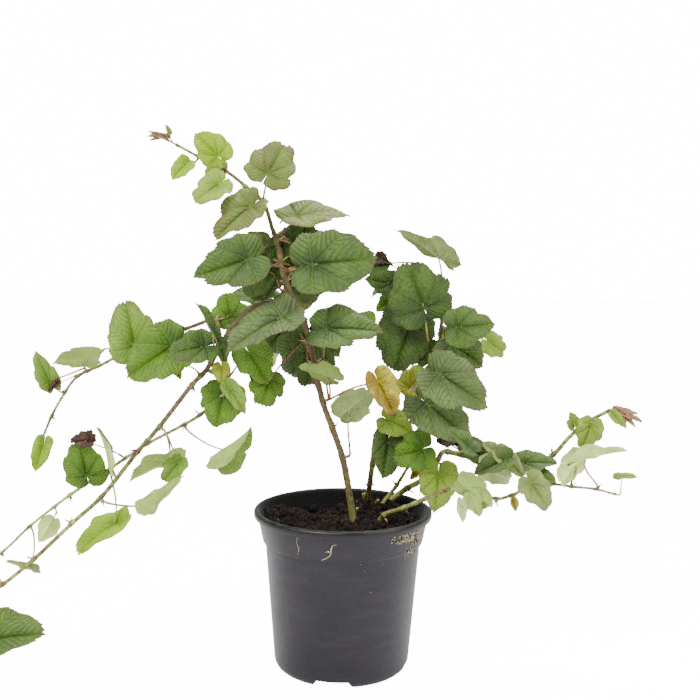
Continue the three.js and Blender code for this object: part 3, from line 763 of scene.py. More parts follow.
def rough_height(x, y):
    """The same, with waves of 13, 6 and 2.5 mm and the finer mounds on it, which fade to a
    third at the pot's wall."""
    flat = np.column_stack([x, y, np.zeros_like(x)])
    rough = sum(waves(flat, *wave) * height for *wave, height in SOIL_WAVES)
    inward = np.clip((SOIL_EDGE + 4 - np.hypot(x, y)) / 9, 0.3, 1)
    return soil_height(x, y) + heaped(rough, x, y, PRESSED) * inward


print("soil height in the middle:", float(soil_height(0, 0)), "mm")

# %% Soil surface
SOIL_RINGS, SOIL_COLUMNS = 60, 180
# The side under the surface, from the edge down to the pot's floor.
SOIL_SIDE = [(65.6, 111), (62.8, 104), (54.4, 14), (48.4, 9)]

turns = full_turn(SOIL_COLUMNS)
radii = SOIL_EDGE * (np.arange(SOIL_RINGS, 0, -1) / SOIL_RINGS)
x, y = (radii[:, None] * np.cos(turns)).ravel(), (radii[:, None] * np.sin(turns)).ravel()
top = np.column_stack([x, y, rough_height(x, y)])
side = [
    np.column_stack([r * np.cos(turns), r * np.sin(turns), z + 0 * turns])
    for r, z in reversed(SOIL_SIDE)
]
centre = rough_height(np.zeros(1), np.zeros(1))[0]
rings = np.concatenate([*side, top]).reshape(-1, SOIL_COLUMNS, 3)
ground = closed_rings(rings, (0, 0, SOIL_SIDE[-1][1]), (0, 0, centre))
print("ground:", len(ground.points), "points")

# %% Crumbs and pale bits
CRUMB_REACH = 66                   # how far from the axis crumbs lie
GOLDEN = (1 + math.sqrt(5)) / 2
LUMP_POINTS = unit(np.array([
    (-1, GOLDEN, 0), (1, GOLDEN, 0), (-1, -GOLDEN, 0), (1, -GOLDEN, 0),
    (0, -1, GOLDEN), (0, 1, GOLDEN), (0, -1, -GOLDEN), (0, 1, -GOLDEN),
    (GOLDEN, 0, -1), (GOLDEN, 0, 1), (-GOLDEN, 0, -1), (-GOLDEN, 0, 1),
], float))
LUMP_FACES = np.array([
    (0, 11, 5), (0, 5, 1), (0, 1, 7), (0, 7, 10), (0, 10, 11), (1, 5, 9), (5, 11, 4),
    (11, 10, 2), (10, 7, 6), (7, 1, 8), (3, 9, 4), (3, 4, 2), (3, 2, 6), (3, 6, 8),
    (3, 8, 9), (4, 9, 5), (2, 4, 11), (6, 2, 10), (8, 6, 7), (9, 8, 1),
])


def turned(rng, count):
    """Random turns: the three axes are the columns that a QR step makes of random numbers,
    with the last one flipped where they would mirror the shape."""
    axes = np.linalg.qr(rng.normal(size=(count, 3, 3)))[0]
    axes[:, 2] *= np.sign(np.linalg.det(axes))[:, None]
    return axes


def crumbs(seed, count, smallest, largest, sunk=0.2):
    """Lumps on the soil: each a twenty-faced ball stretched by random shares along its own
    axes, many small and few large, sunk a little into the ground."""
    rng = np.random.default_rng(seed)
    radius = CRUMB_REACH * np.sqrt(rng.uniform(0, 1, count))
    turn = rng.uniform(0, 2 * np.pi, count)
    x, y = radius * np.cos(turn), radius * np.sin(turn)
    size = smallest + (largest - smallest) * rng.uniform(0, 1, count) ** 3
    stretch = rng.uniform(0.45, 1.1, (count, 3))
    axes = turned(rng, count) * (size[:, None] * stretch)[:, :, None]
    ragged = LUMP_POINTS * rng.uniform(0.8, 1.2, (len(LUMP_POINTS), 1))
    places = np.column_stack([x, y, rough_height(x, y) + size * (0.35 - sunk)])
    return scattered(ragged, [LUMP_FACES], places, axes)


loose = join([crumbs(11, 2800, 0.35, 2.2), crumbs(12, 420, 1.6, 5.6), crumbs(13, 1200, 0.3, 1.0)])
pale_bits = crumbs(14, 40, 0.4, 1.6, sunk=0)
brown_bits = crumbs(15, 110, 0.6, 2.8, sunk=0)
print("crumbs:", len(loose.points) // len(LUMP_POINTS))


# %% Fibres
THREAD_POINTS, THREAD_SIDES = 8, 5


def bent_threads(seed, count, reach, longest, radius, lift):
    """Thin roots and straw: each a level curve that bends evenly, laid on the soil and a
    little above it at its middle."""
    rng = np.random.default_rng(seed)
    shapes = []
    for start_radius, bearing, way, bend, length in zip(
        reach * np.sqrt(rng.uniform(0, 1, count)), rng.uniform(0, 2 * np.pi, count),
        rng.uniform(0, 2 * np.pi, count), rng.normal(0, 0.09, count),
        longest * rng.uniform(0.25, 1, count),
    ):
        t = np.linspace(0, length, THREAD_POINTS)
        step = length / THREAD_POINTS
        x = start_radius * math.cos(bearing) + np.cumsum(np.cos(way + bend * t)) * step
        y = start_radius * math.sin(bearing) + np.cumsum(np.sin(way + bend * t)) * step
        far = np.maximum(np.hypot(x, y) / reach, 1)
        x, y = x / far, y / far
        z = rough_height(x, y) + 0.4 + lift * np.sin(np.pi * t / length) * rng.uniform(0, 1)
        thick = radius * rng.uniform(0.5, 1.2) * np.linspace(1, 0.5, THREAD_POINTS)
        shapes.append(tube(np.column_stack([x, y, z]), thick, THREAD_SIDES))
    return join(shapes)


fibres = bent_threads(21, 230, 65, 13, 0.2, 2.4)
chips = bent_threads(22, 60, 63, 9, 0.7, 1.8)
print("fibres and chips:", len(fibres.points) + len(chips.points), "points")

# %% [markdown]
# ## The soil's finishes
#
# Peat, bark, roots and grit are paler and drier forms of one brown. Each could have its own
# nodes, but one function of two colours, a roughness and a size of patch keeps them related.

# %% Soil finishes
def earth(name, dark, light, roughness, patch_scale=160.0):
    """Damp peat and the like: two colours in patches, and a coarse grain that is also a
    height and a shade."""
    material, tree, shader = new_material(name, Specular_IOR_Level=0.25)
    place = object_place(tree)
    grain = place_group(tree, "grain", Vector=place, Patch_Scale=patch_scale, Grain_Scale=1500.0)
    colour = mixed(tree, grain["Patches"], linear(*dark), linear(*light))
    colour = mixed(tree, times(tree, grain["Grain"], 0.6), colour, linear(*dark))
    rough = span(tree, grain["Grain"], 0, 1, roughness - 0.1, roughness)
    dress(tree, shader, colour, rough, grain["Height"], 0.0006, 0.8)
    return material


peat = earth("damp_peat", (5, 2, 3), (22, 11, 11), 0.95)
make_piece("compost", ground, [peat], ["soil"], crease=60)
# Piece, shape, and its finish: name, dark and light colour, roughness, and patches to the metre.
LOOSE_MATTER = [
    ("compost_crumbs", loose, ("peat_crumbs", (4, 2, 3), (46, 25, 21), 0.95, 240.0)),
    ("compost_bark", join([brown_bits, chips]),
     ("bark_bits", (30, 17, 12), (72, 44, 32), 0.9, 300.0)),
    ("compost_grit", pale_bits, ("pale_grit", (150, 132, 104), (196, 180, 150), 0.9)),
    ("compost_fibres", fibres, ("dry_roots", (44, 30, 22), (104, 80, 58), 0.85)),
]
for name, shape, looks in LOOSE_MATTER:
    make_piece(name, shape, [earth(*looks)])
print("soil pieces:", {name: count for name, count in made.items() if name.startswith("compost")})

# %% [markdown]
# ## The canes
#
# Each cane is one tapering tube along a route that was given joint by joint: four
# canes and a short stem stand in the soil, and the others fork from them. A curve object
# with a bevel would give the tube in one step, but not the swollen joints, the ribs and the
# knobbly bark, which are what makes a bramble a bramble. So the ring at every step gets its
# own radius: an even taper, a swelling at each joint, a flare where it enters the soil, and
# a relief of ribs and bumps.

# %% Cane routes
# girth: diameter at foot and tip in mm. age: 1 is old olive bark, 0.5 red-brown, 0 green.
# parent: the cane, and the joint number, that a side cane forks from. route: its joints.
CANES = {
    "main_cane": {
        "girth": (7.2, 2.2), "age": (0.98, 0.24),
        "route": [
            (9, -2), (-1, -4, 178), (-18, -8, 226), (-29, -9, 276), (-38, -10, 301),
            (-45, -9, 315), (-51, -8, 331), (-56, -6, 354), (-61, -4, 369), (-68, -2, 388),
            (-83, 2, 401), (-100, 6, 414), (-122, 10, 425), (-141, 12, 435),
        ],
    },
    "left_cane": {
        "girth": (4.8, 2.6), "age": (0.66, 0.12), "parent": ("main_cane", 4.3),
        "route": [
            (-62, -13, 307), (-79, -14, 299), (-91, -15, 287), (-103, -16, 268), (-112, -17, 252),
            (-124, -19, 239), (-149, -25, 206), (-166, -28, 186), (-195, -35, 149),
            (-217, -40, 129), (-245, -50, 102), (-267, -57, 84), (-290, -64, 68), (-310, -70, 60),
            (-324, -74, 61),
        ],
    },
    "left_upper_shoot": {
        "girth": (3.4, 2), "age": (0.6, 0.2), "parent": ("left_cane", 2.6),
        "route": [
            (-107, -2, 291), (-128, 6, 285), (-141, 8, 280), (-167, 12, 269), (-191, 14, 259),
            (-208, 16, 250), (-228, 18, 240), (-238, 18, 227), (-250, 18, 206), (-256, 18, 192),
        ],
    },
    "left_lower_shoot": {
        "girth": (3.2, 2), "age": (0.2, 0.0), "parent": ("left_cane", 4),
        "route": [
            (-101, -5, 243), (-107, -3, 224), (-120, -3, 212), (-133, -3, 204), (-164, -3, 187),
            (-195, -3, 166), (-229, -3, 143), (-242, -3, 133), (-263, -3, 116), (-287, -3, 93),
            (-312, 0, 74), (-332, 4, 66),
        ],
    },
    "right_cane": {
        "girth": (4.8, 2.4), "age": (0.34, 0.45),
        "route": [
            (22, 50), (23, 38, 146), (25, 32, 165), (28, 28, 189), (37, 24, 200),
            (53, 18, 217), (65, 12, 235), (77, 8, 265), (80, 6, 285), (80, 8, 305),
            (76, 10, 325), (64, 12, 337),
        ],
    },
    "runner_cane": {
        "girth": (6.2, 1.8), "age": (0.5, 0.0),
        "route": [
            (30, -4), (34, -8, 130), (50, -14, 138), (69, -15, 147), (83, -15, 153), (97, -13, 156),
            (113, -12, 151), (127, -11, 146), (140, -10, 149), (158, -8, 157), (174, -6, 158),
            (190, -6, 156), (211, -6, 154), (227, -6, 150),
        ],
    },
    "right_trailing_cane": {
        "girth": (5, 3.0), "age": (0.0, 0.3),
        "route": [
            (36, 44), (56, 36, 143), (69, 28, 153), (80, 18, 171), (85, 14, 180),
            (97, 10, 179), (118, 8, 174), (140, 6, 167), (160, 4, 170), (176, 2, 181),
            (188, 0, 196), (203, -2, 210), (220, -4, 220),
        ],
    },
    "short_stem": {
        "girth": (3.6, 2.4), "age": (0.04, 0.0),
        "route": [(33, 34), (46, 25, 148), (55, 16, 166)],
    },
    "back_left_shoot": {
        "girth": (3.2, 2), "age": (0.5, 0.1), "parent": ("main_cane", 3.5),
        "route": [(-40, 22, 298), (-50, 58, 303), (-60, 92, 296), (-70, 120, 276), (-76, 138, 250)],
    },
    "back_right_shoot": {
        "girth": (3, 2), "age": (0.5, 0.1), "parent": ("right_cane", 8.5),
        "route": [(76, 38, 306), (68, 72, 310), (58, 102, 300), (50, 124, 280), (44, 138, 256)],
    },
}
print("canes:", len(CANES))

# %% Where the canes run, and how things grow out of them
CLEARANCE = 0.35                   # the model's gap between a cane and what grows out of it
SPUR, SWING = 2.4, 4               # a side shoot's straight start, and how far it holds to it
FRONT = np.array([0.0, -1.0, 0.0])
ROOTED = 1                         # a standing cane's foot is this far under the soil's height


def spline(points, numbers):
    """A centripetal Catmull-Rom curve by point number. Between two points it is a cubic, and
    its slope at each comes from the chords on both sides, each divided by the square root of
    its length. Both ends are carried on by a mirrored point."""
    ends = [[2 * points[0] - points[1]], points, [2 * points[-1] - points[-2]]]
    points = np.concatenate(ends)
    i = np.clip(np.floor(numbers).astype(int), 0, len(points) - 4)
    t = (numbers - i)[:, None]
    a, b, c, d = (points[i + k] for k in range(4))
    ab, bc, cd = (
        np.linalg.norm(q - p, axis=1, keepdims=True) ** 0.5 for p, q in ((a, b), (b, c), (c, d))
    )
    leave = ((b - a) / ab - (c - a) / (ab + bc) + (c - b) / bc) * bc
    arrive = ((c - b) / bc - (d - b) / (bc + cd) + (d - c) / cd) * bc
    square, cube = 3 * (c - b) - 2 * leave - arrive, 2 * (b - c) + leave + arrive
    return b + t * leave + t**2 * square + t**3 * cube


ROUTES = {}
NUDGE = 0.001                      # how far either side of a place its way is measured


def at_joint(name, number):
    """A cane's place, way and radius at a joint number, which may lie between two joints."""
    points, first = ROUTES[name]
    place, before, after = spline(points, number - first + np.array([0, -NUDGE, NUDGE]))
    foot, tip = CANES[name]["girth"]
    share = (number - first) / (len(points) - 1)
    return place, unit(after - before), (foot + (tip - foot) * share) / 2


def spring_from(name, number, targets):
    """Where something that grows out of a cane towards its targets begins, and its first way.
    From the last joint that is straight on. Elsewhere it is square to the cane, in the middle
    of the narrowest arc that takes in every target."""
    place, along, radius = at_joint(name, number)
    if number == len(CANES[name]["route"]) - 1:
        return place + along * CLEARANCE, along
    side = unit(FRONT - along * (FRONT @ along))
    across = np.cross(along, side)
    ways = np.asarray(targets, float) - place
    turns = np.sort(np.arctan2(ways @ across, ways @ side))
    gaps = np.diff(np.append(turns, turns[0] + 2 * np.pi))
    widest = int(np.argmax(gaps))
    middle = turns[widest] + gaps[widest] / 2 + np.pi
    out = side * math.cos(middle) + across * math.sin(middle)
    return place + out * (radius + CLEARANCE), out


for name, cane in CANES.items():
    route = [(*p, soil_height(*p) - ROOTED) if len(p) == 2 else p for p in cane["route"]]
    points, first = np.array(route, float), 0
    if "parent" in cane:
        start, out = spring_from(*cane["parent"], points[:1])
        points, first = np.concatenate([[start, start + out * SPUR], points]), -2
    ROUTES[name] = (points, first)
print("points on their routes:", sum(len(points) for points, _ in ROUTES.values()))

# %% Leaf groups
# For each cane: (joint number, leaf, leaf ...). A leaf is kind, tone, the place where its
# stalk joins the blade, the way from there to its tip, and the tilt of its upper face in
# degrees: 0 looks to the front, 90 up, and 180 back.
LEAVES = {
    "main_cane": [
        (1, ("young", "grey", 2, -13, 218, 22, -5, 20, 160)),
        (2, ("dying", "ochre", 27, -34, 246, 15, -6, -28, 10),
         ("old", "mid", -15, -30, 287, 42, -12, 3, 40),
         ("slim", "mid", -11, -24, 247, -25, -8, 13, 150)),
        (3, ("broad", "deep", -33, 18, 274, -15, 10, -36, 10),
         ("round", "lush", -63, -8, 243, -4, -7, -23, 15),
         ("old", "deep", -26, 40, 276, 20, 26, -16, 150)),
        (5.2, ("old", "grey", -50, -34, 296, -44, -16, -21, 55),
         ("old", "deep", -61, 16, 333, -31, 12, -18, 20),
         ("old", "deep", -44, 22, 322, 20, 16, -14, 5)),
        (6, ("old", "mid", -77, -28, 342, -39, -15, -13, 8),
         ("old", "mid", -26, -38, 338, 50, -14, 7, 10),
         ("old", "deep", -44, 34, 338, 22, 30, 6, 150)),
        (7.5, ("old", "dusky", -41, -8, 376, 44, 14, 10, 60),
         ("broad", "deep", -40, 14, 350, 23, 16, 15, 5),
         ("old", "deep", -68, 28, 352, -22, 28, -2, 150)),
        (9, ("old", "dusky", -77, -13, 384, -30, -8, -24, 35),
         ("round", "dusky", -64, -10, 410, 15, 7, 28, 10)),
        (11, ("young", "fresh", -103, -9, 402, -20, -10, -16, 20),
         ("broad", "lime", -105, -2, 425, -17, -10, 17, 10),
         ("young", "fresh", -105, 16, 413, -18, 14, 1, 20)),
        (12, ("young", "lime", -132, 6, 419, -12, -5, -13, 20)),
        (13, ("bud", "pink", -151, 13, 441, -16, 0, 0, 30),
         ("slim", "fresh", -147, 12, 445, -3, 0, 7, 30)),
    ],
    "left_cane": [
        (3, ("slim", "mid", -103, -35, 279, -10, -3, 29, 76),
         ("old", "mid", -111, -30, 272, -27, -12, -4, 20)),
        (6, ("slim", "grass", -137, -36, 179, -36, -8, -10, 128),
         ("young", "grass", -132, -38, 179, -11, -6, -15, 20)),
        (8, ("slim", "lush", -149, -49, 146, 23, -11, 29, 128)),
        (12, ("old", "mid", -279, -74, 44, 50, -16, 17, 52)),
        (13.4, ("young", "grass", -312, -58, 84, -14, 12, 26, 10),
         ("young", "fresh", -322, -90, 46, -20, -18, -10, 60),
         ("bud", "pink", -328, -75, 64, -13, -2, 5, 40)),
    ],
    "left_upper_shoot": [
        (0, ("round", "lush", -95, 6, 292, -5, 4, 23, 10)),
        (2, ("young", "lush", -141, -10, 270, -37, -12, -25, 14),
         ("young", "mid", -150, 30, 272, -16, 26, -8, 150)),
        (3, ("young", "grass", -176, 10, 267, -7, -6, 41, 5)),
        (5.5, ("old", "grass", -213, 3, 257, -28, -8, 1, 140),
         ("slim", "grass", -211, 12, 258, 11, 2, 9, 60),
         ("slim", "grass", -247, 6, 237, -10, -8, 25, 5)),
        (9, ("slim", "lime", -256, 14, 183, -6, -6, -23, 10)),
    ],
    "left_lower_shoot": [
        (0, ("young", "lush", -79, -10, 266, 17, -10, -25, 15),
         ("round", "lush", -98, -18, 233, -5, -8, -28, 5),
         ("broad", "yellow", -99, -27, 255, 2, -2, -14, 20)),
        (3, ("folded", "grass", -103, -11, 183, 29, -10, 17, -60)),
        (5, ("broad", "lush", -211, -16, 163, -4, -10, 31, 0),
         ("slim", "pale", -192, -19, 172, -4, 0, 33, 108),
         ("old", "lime", -185, -21, 124, -33, -12, -17, 68)),
        (7, ("young", "pale", -243, -10, 121, -8, -8, -14, 160)),
        (8, ("round", "pale", -258, -16, 84, -19, -8, 9, 100)),
        (10.6, ("young", "fresh", -320, -10, 90, -16, -10, 20, 20),
         ("young", "grass", -316, 20, 60, -14, 20, -12, 150),
         ("bud", "pink", -336, 5, 68, -13, 2, 4, 40)),
    ],
    "right_cane": [
        (4, ("young", "fresh", 37, 10, 208, 22, -6, -10, 20),
         ("old", "mid", 38, 8, 192, -4, -8, -32, 5)),
        (5.4, ("old", "grey", 68, -10, 225, 36, -16, -27, 25),
         ("old", "grey", 76, -32, 252, 37, -14, -22, 16),
         ("dying", "ochre", 55, 6, 224, -8, -6, 13, 30),
         ("broad", "yellow", 57, 30, 232, 14, 10, 19, 10)),
        (7, ("broad", "deep", 54, 4, 289, -13, -6, -41, 5),
         ("round", "deep", 64, -16, 304, -15, -10, 38, 5),
         ("old", "deep", 60, 34, 300, -14, 30, 10, 150)),
        (8, ("broad", "mid", 90, -23, 289, 29, -8, 4, 10),
         ("broad", "mid", 88, -3, 274, 27, -7, -18, 10),
         ("young", "fresh", 121, 14, 275, 17, 6, -11, 10),
         ("old", "mid", 94, 38, 284, 20, 28, -8, 150)),
        (10, ("slim", "grey", 79, 0, 343, -36, -12, 27, 118)),
        (11, ("old", "deep", 38, 4, 323, -21, -8, 4, 10),
         ("young", "lush", 38, 10, 309, -12, -4, -9, 10),
         ("old", "deep", 30, 10, 340, -14, -4, -9, 10)),
    ],
    "runner_cane": [
        (5.6, ("old", "grass", 99, -26, 160, 23, -9, -14, 150),
         ("old", "grass", 104, -29, 152, 7, -8, -14, 155),
         ("slim", "fresh", 97, -26, 146, 1, -3, -15, 160)),
        (8, ("old", "pale", 152, -29, 164, 15, -7, -20, 10),
         ("dying", "ochre", 140, -16, 146, 3, -2, -9, 10)),
        (11, ("old", "pale", 195, -6, 177, -19, -9, -17, 160)),
        (12, ("slim", "pale", 192, -29, 183, 33, -9, 15, 125)),
        (13, ("young", "fresh", 229, -8, 165, 14, -5, 2, 80)),
    ],
    "right_trailing_cane": [
        (3, ("broad", "fresh", 80, 4, 164, -2, -8, -32, 15)),
        (5.5, ("broad", "fresh", 127, -2, 166, -14, -8, 17, 160),
         ("slim", "pale", 132, -14, 177, -16, -6, 20, 50),
         ("slim", "pale", 129, -22, 185, 18, -6, -16, 20)),
        (7, ("old", "mid", 150, -4, 175, 25, -10, 4, 58),
         ("young", "grass", 157, 26, 166, 20, 18, -9, 150)),
        (10.5, ("young", "fresh", 191, -6, 208, -4, -4, 11, 10),
         ("broad", "fresh", 203, -12, 209, -7, -2, -21, 10)),
        (12, ("bud", "pink", 228, -5, 219, 19, 0, -9, 30),
         ("slim", "fresh", 222, -10, 217, 10, -5, -9, 20)),
    ],
    "short_stem": [
        (2, ("round", "lush", 66, -3, 186, -26, -10, -6, 5),
         ("dying", "ochre", 62, 6, 170, -4, -2, -13, 10)),
    ],
    "back_left_shoot": [
        (1.5, ("old", "mid", -34, 74, 316, 32, 12, 12, 60),
         ("old", "mid", -72, 72, 308, -34, 8, 8, 60),
         ("old", "deep", -48, 106, 306, 28, 24, 10, 150)),
        (3.4, ("broad", "mid", -82, 118, 282, -34, 14, -16, 150),
         ("young", "lush", -80, 146, 246, -10, 16, -26, 150),
         ("young", "grass", -58, 142, 262, 24, 14, -8, 150)),
    ],
    "back_right_shoot": [
        (1.5, ("old", "mid", 66, 80, 324, 26, 12, -16, 60),
         ("old", "grey", 44, 84, 322, -20, 10, -9, 120),
         ("old", "deep", 72, 116, 312, 20, 28, 8, 150)),
        (3.4, ("broad", "mid", 22, 118, 281, -26, 14, -9, 150),
         ("young", "lush", 54, 146, 258, -4, 14, -24, 150),
         ("young", "grass", 62, 142, 268, 24, 14, -6, 150)),
    ],
}
print("leaves of the model:", sum(len(group) - 1 for groups in LEAVES.values() for group in groups))

# %% Finer leaves
# Smaller leaves deep in the crown, and dried remains, that the model's masses leave out.
FINER = {
    "main_cane": [
        (1.5, ("broad", "deep", -28, 20, 276, 13, -6, -33, 10)),
        (2.6, ("broad", "deep", -46, 24, 289, -24, 6, -26, 10),
         ("broad", "deep", -27, 16, 262, -6, -6, -28, 10)),
        (5.6, ("broad", "deep", -41, 10, 340, -9, 4, -20, 10),
         ("slim", "mid", -58, 4, 321, -10, -4, -13, 30)),
        (6.4, ("broad", "deep", -53, 8, 355, -11, 2, -16, 10),
         ("broad", "deep", -39, 22, 336, 14, -6, 31, 5),
         ("round", "deep", -74, 27, 329, 0, -6, -24, 10)),
        (7.2, ("round", "deep", -41, 10, 352, 10, 2, 25, 0)),
    ],
    "left_cane": [
        (3.6, ("slim", "mid", -99, -24, 273, 3, -2, -17, 20)),
        (4.4, ("dying", "yellow", -139, -14, 257, 5, -4, -13, 10)),
    ],
    "left_upper_shoot": [
        (1.5, ("crisp", "dry", -137, 2, 282, -5, -4, -11, 40)),
        (5.9, ("crisp", "dry", -240, 4, 236, -7, -3, -4, 30)),
    ],
    "left_lower_shoot": [
        (1.2, ("slim", "grass", -92, -30, 238, 14, -3, -19, 30)),
        (4.6, ("crisp", "dry", -206, -26, 193, -14, -4, 3, 40)),
    ],
    "right_cane": [
        (5.8, ("broad", "deep", 71, 4, 258, 18, 4, 18, 10)),
        (10.5, ("crisp", "dry", 27, 10, 344, 10, -4, -3, 20)),
    ],
    "right_trailing_cane": [
        (4.4, ("slim", "grey", 100, -42, 195, -18, 2, 17, 40)),
        (5.2, ("crisp", "dry", 84, -2, 193, 21, -4, -5, 50)),
        (5.8, ("slim", "mid", 105, -6, 188, 26, -6, -18, 30),
         ("broad", "fresh", 117, -18, 173, 22, -8, -6, 160)),
        (6.6, ("slim", "mid", 131, -26, 182, -26, -4, -10, 40)),
        (8.3, ("broad", "mid", 158, -14, 167, 17, -6, -3, 50)),
    ],
}
GROWTH = {name: groups + FINER.get(name, []) for name, groups in LEAVES.items()}
SPRINGS = {
    (name, number): spring_from(name, number, [leaf[2:5] for leaf in leaves])
    for name, groups in GROWTH.items() for number, *leaves in groups
}
print("leaves:", sum(len(group) - 1 for groups in GROWTH.values() for group in groups))

# %% Cane surfaces
CANE_SIDES = 16
STEPS_A_JOINT = 18
# Share by which a cane's middle is thinner than an even taper, eased in from this far up it.
SLENDER, SLENDER_FROM = {"main_cane": 0.28, "runner_cane": 0.34}, 0.3
BURIED = 7                          # how far a standing cane runs on into the soil
LEAD, TIP_ROUNDS = 4, [(0.5, 0.8), (0.85, 0.4)]    # steps sunk in; the tip's reach and girth
JOINT_RISE, JOINT_LENGTH = 0.55, 2.4    # how far bark swells at a joint, and half that length
FLARE, FLARE_HEIGHT = 0.12, 5      # the share that a foot widens, and over what height
BARE = 0.02                        # between joints the wood is this share thicker than its girth
RIBS, RIB_HEIGHT = 5, 0.05
BUMPS = [(0.07, 5, 1), (0.045, 2, 2)]    # height as a share of radius, length, seed


def lengths_along(path):
    """Distance from the foot to each point of a path."""
    return np.concatenate([[0], np.cumsum(np.linalg.norm(np.diff(path, axis=0), axis=1))])


def bare_joints(name):
    """The numbers of a cane's joints that carry no leaf any more."""
    taken = [number for number, *_ in GROWTH[name]]
    last = len(CANES[name]["route"]) - 1
    return [
        number for number in range(1, last) if min(abs(number - other) for other in taken) > 0.5
    ]


def cane_path(name):
    """Points, radii and joint numbers from foot to tip. A standing cane starts in the soil,
    and a side cane in the wood of its parent."""
    points, first = ROUTES[name]
    numbers = np.linspace(0, len(points) - 1, (len(points) - 1) * STEPS_A_JOINT + 1)
    path = spline(points, numbers)
    foot, tip = CANES[name]["girth"]
    share = numbers / numbers[-1]
    thinner = SLENDER.get(name, 0) * np.sin(np.pi * (SLENDER_FROM + (1 - SLENDER_FROM) * share))
    radii = (foot + (tip - foot) * share) / 2 * (1 - thinner)
    way = unit(path[1] - path[0])
    depth = BURIED if first == 0 else CLEARANCE + CANES[CANES[name]["parent"][0]]["girth"][1] / 2
    lead = path[0] - way * np.linspace(depth, depth / LEAD, LEAD)[:, None]
    reaches, girths = np.array(TIP_ROUNDS).T
    rounded_end = path[-1] + unit(path[-1] - path[-2]) * radii[-1] * reaches[:, None]
    path = np.concatenate([lead, path, rounded_end])
    radii = np.concatenate([np.full(LEAD, radii[0]), radii, radii[-1] * girths])
    numbers = np.concatenate([np.zeros(LEAD), numbers, np.full(len(TIP_ROUNDS), numbers[-1])])
    return path, radii, numbers + first


def cane_shape(name, seed):
    """The taper times 1 plus the highest bell of any joint near by, plus a flare at the foot,
    plus ribs, and bumps of 5 and 2 mm, that are lower on young wood. Its age runs from foot
    to tip with slow waves in it, and nears red-brown at a joint."""
    path, radii, numbers = cane_path(name)
    distance = lengths_along(path)
    swelling = np.zeros(len(path))
    for number in [number for number, *_ in GROWTH[name]] + bare_joints(name):
        joint = np.interp(number, numbers, distance)
        bell = JOINT_RISE / radii / np.exp(((distance - joint) / JOINT_LENGTH) ** 2)
        swelling = np.maximum(swelling, bell)
    buried = BURIED if ROUTES[name][1] == 0 else 0
    flare = FLARE / np.exp(np.maximum(distance - buried, 0) / FLARE_HEIGHT)
    old, new = CANES[name]["age"]
    age = old + (new - old) * (distance / distance[-1]) ** 0.8
    age = age + 0.1 * waves(path, 26, seed) + 0.8 * swelling * (0.7 - age)
    turns = full_turn(CANE_SIDES)
    around = np.stack(
        np.broadcast_arrays(distance[:, None], 3 * np.cos(turns), 3 * np.sin(turns)), axis=-1
    )
    bumps = sum(height * waves(around, length, seed + step) for height, length, step in BUMPS)
    ribs = RIB_HEIGHT * np.sin(RIBS * turns + 0.8 * np.sin(distance / 30)[:, None])
    rough = (bumps + ribs) * np.clip(age + 0.25, 0.3, 1)[:, None]
    relief = rough + (swelling + flare + BARE)[:, None]
    return tube(path, radii, CANE_SIDES, relief, age=age)


print("main cane:", round(float(lengths_along(cane_path("main_cane")[0])[-1])), "mm long")

# %% [markdown]
# ## Bark
#
# Bramble bark is green when young, then red-brown, and dull olive at last. It could be painted
# cane by cane. Instead every ring carries its age as an attribute, and one colour ramp over
# that age serves all the canes, and with other colours the stalks and stipules too.

# %% Bark
PATCHY = 0.35                      # how far patches shift the age that is seen
FLUSHED = 0.08                     # how much redder the side is that faces the sky


def bark(name, colours, roughness=0.62):
    """Colours by age, from green through red-brown to olive, mottled, flushed with red above,
    with fine scratches that are darker and lower."""
    material, tree, shader = new_material(name)
    grain = place_group(
        tree, "grain", Vector=object_place(tree), Patch_Scale=240.0, Grain_Scale=1800.0
    )
    age = add_node(tree, "ShaderNodeAttribute", attribute_name="age").outputs["Fac"]
    ramp = add_node(tree, "ShaderNodeValToRGB")
    marks = ramp.color_ramp.elements
    for position, _ in colours[1:-1]:
        marks.new(position)
    for mark, (position, colour) in zip(marks, colours):
        mark.position = position
        mark.color = linear(*colour)
    shift = times(tree, minus(tree, grain["Patches"], 0.5), PATCHY)
    feed(tree, ramp.inputs["Fac"], plus(tree, age, shift))
    flush = times(tree, span(tree, components(tree, surface_normal(tree))["Z"], 0.0, 0.9), FLUSHED)
    colour = mixed(tree, flush, ramp.outputs["Color"], linear(132, 78, 60))
    dark = times(tree, span(tree, grain["Grain"], 0.0, 0.5, 1.0, 0.0), 0.35)
    colour = mixed(tree, dark, colour, linear(56, 40, 30))
    rough = span(tree, grain["Grain"], 0, 1, roughness + 0.12, roughness - 0.08)
    dress(tree, shader, colour, rough, grain["Height"], 0.0003, 0.6)
    return material


BARK_AGES = [
    (0.0, (186, 194, 108)), (0.22, (124, 130, 60)), (0.42, (98, 90, 46)),
    (0.62, (92, 66, 46)), (0.8, (92, 84, 44)), (1.0, (112, 108, 54)),
]
cane_bark = bark("cane_bark", BARK_AGES)
for seed, name in enumerate(CANES):
    make_piece(f"{name}_bark", cane_shape(name, 30 + 3 * seed), [cane_bark], [name])
print("cane pieces:", sum(made[f"{name}_bark"] for name in CANES), "triangles")

# %% Bristles
BRISTLES_PER_MM = 1.1
BRISTLE_LENGTH, BRISTLE_RADIUS = 1.9, 0.24


def bristle_template():
    """A three-sided thorn that leans back: base ring, middle ring and tip."""
    turns = full_turn(3)
    circle = np.column_stack([np.cos(turns), np.sin(turns), np.zeros(3)])
    rings = [circle, circle * 0.5 + (0.4, 0, 0.55)]
    sides = ring_quads(2, 3)
    ends = np.array([[2, 1, 0], [3, 4, 6], [4, 5, 6], [5, 3, 6]])
    return np.concatenate(rings + [[[1.3, 0, 1.0]]]), [sides, ends]


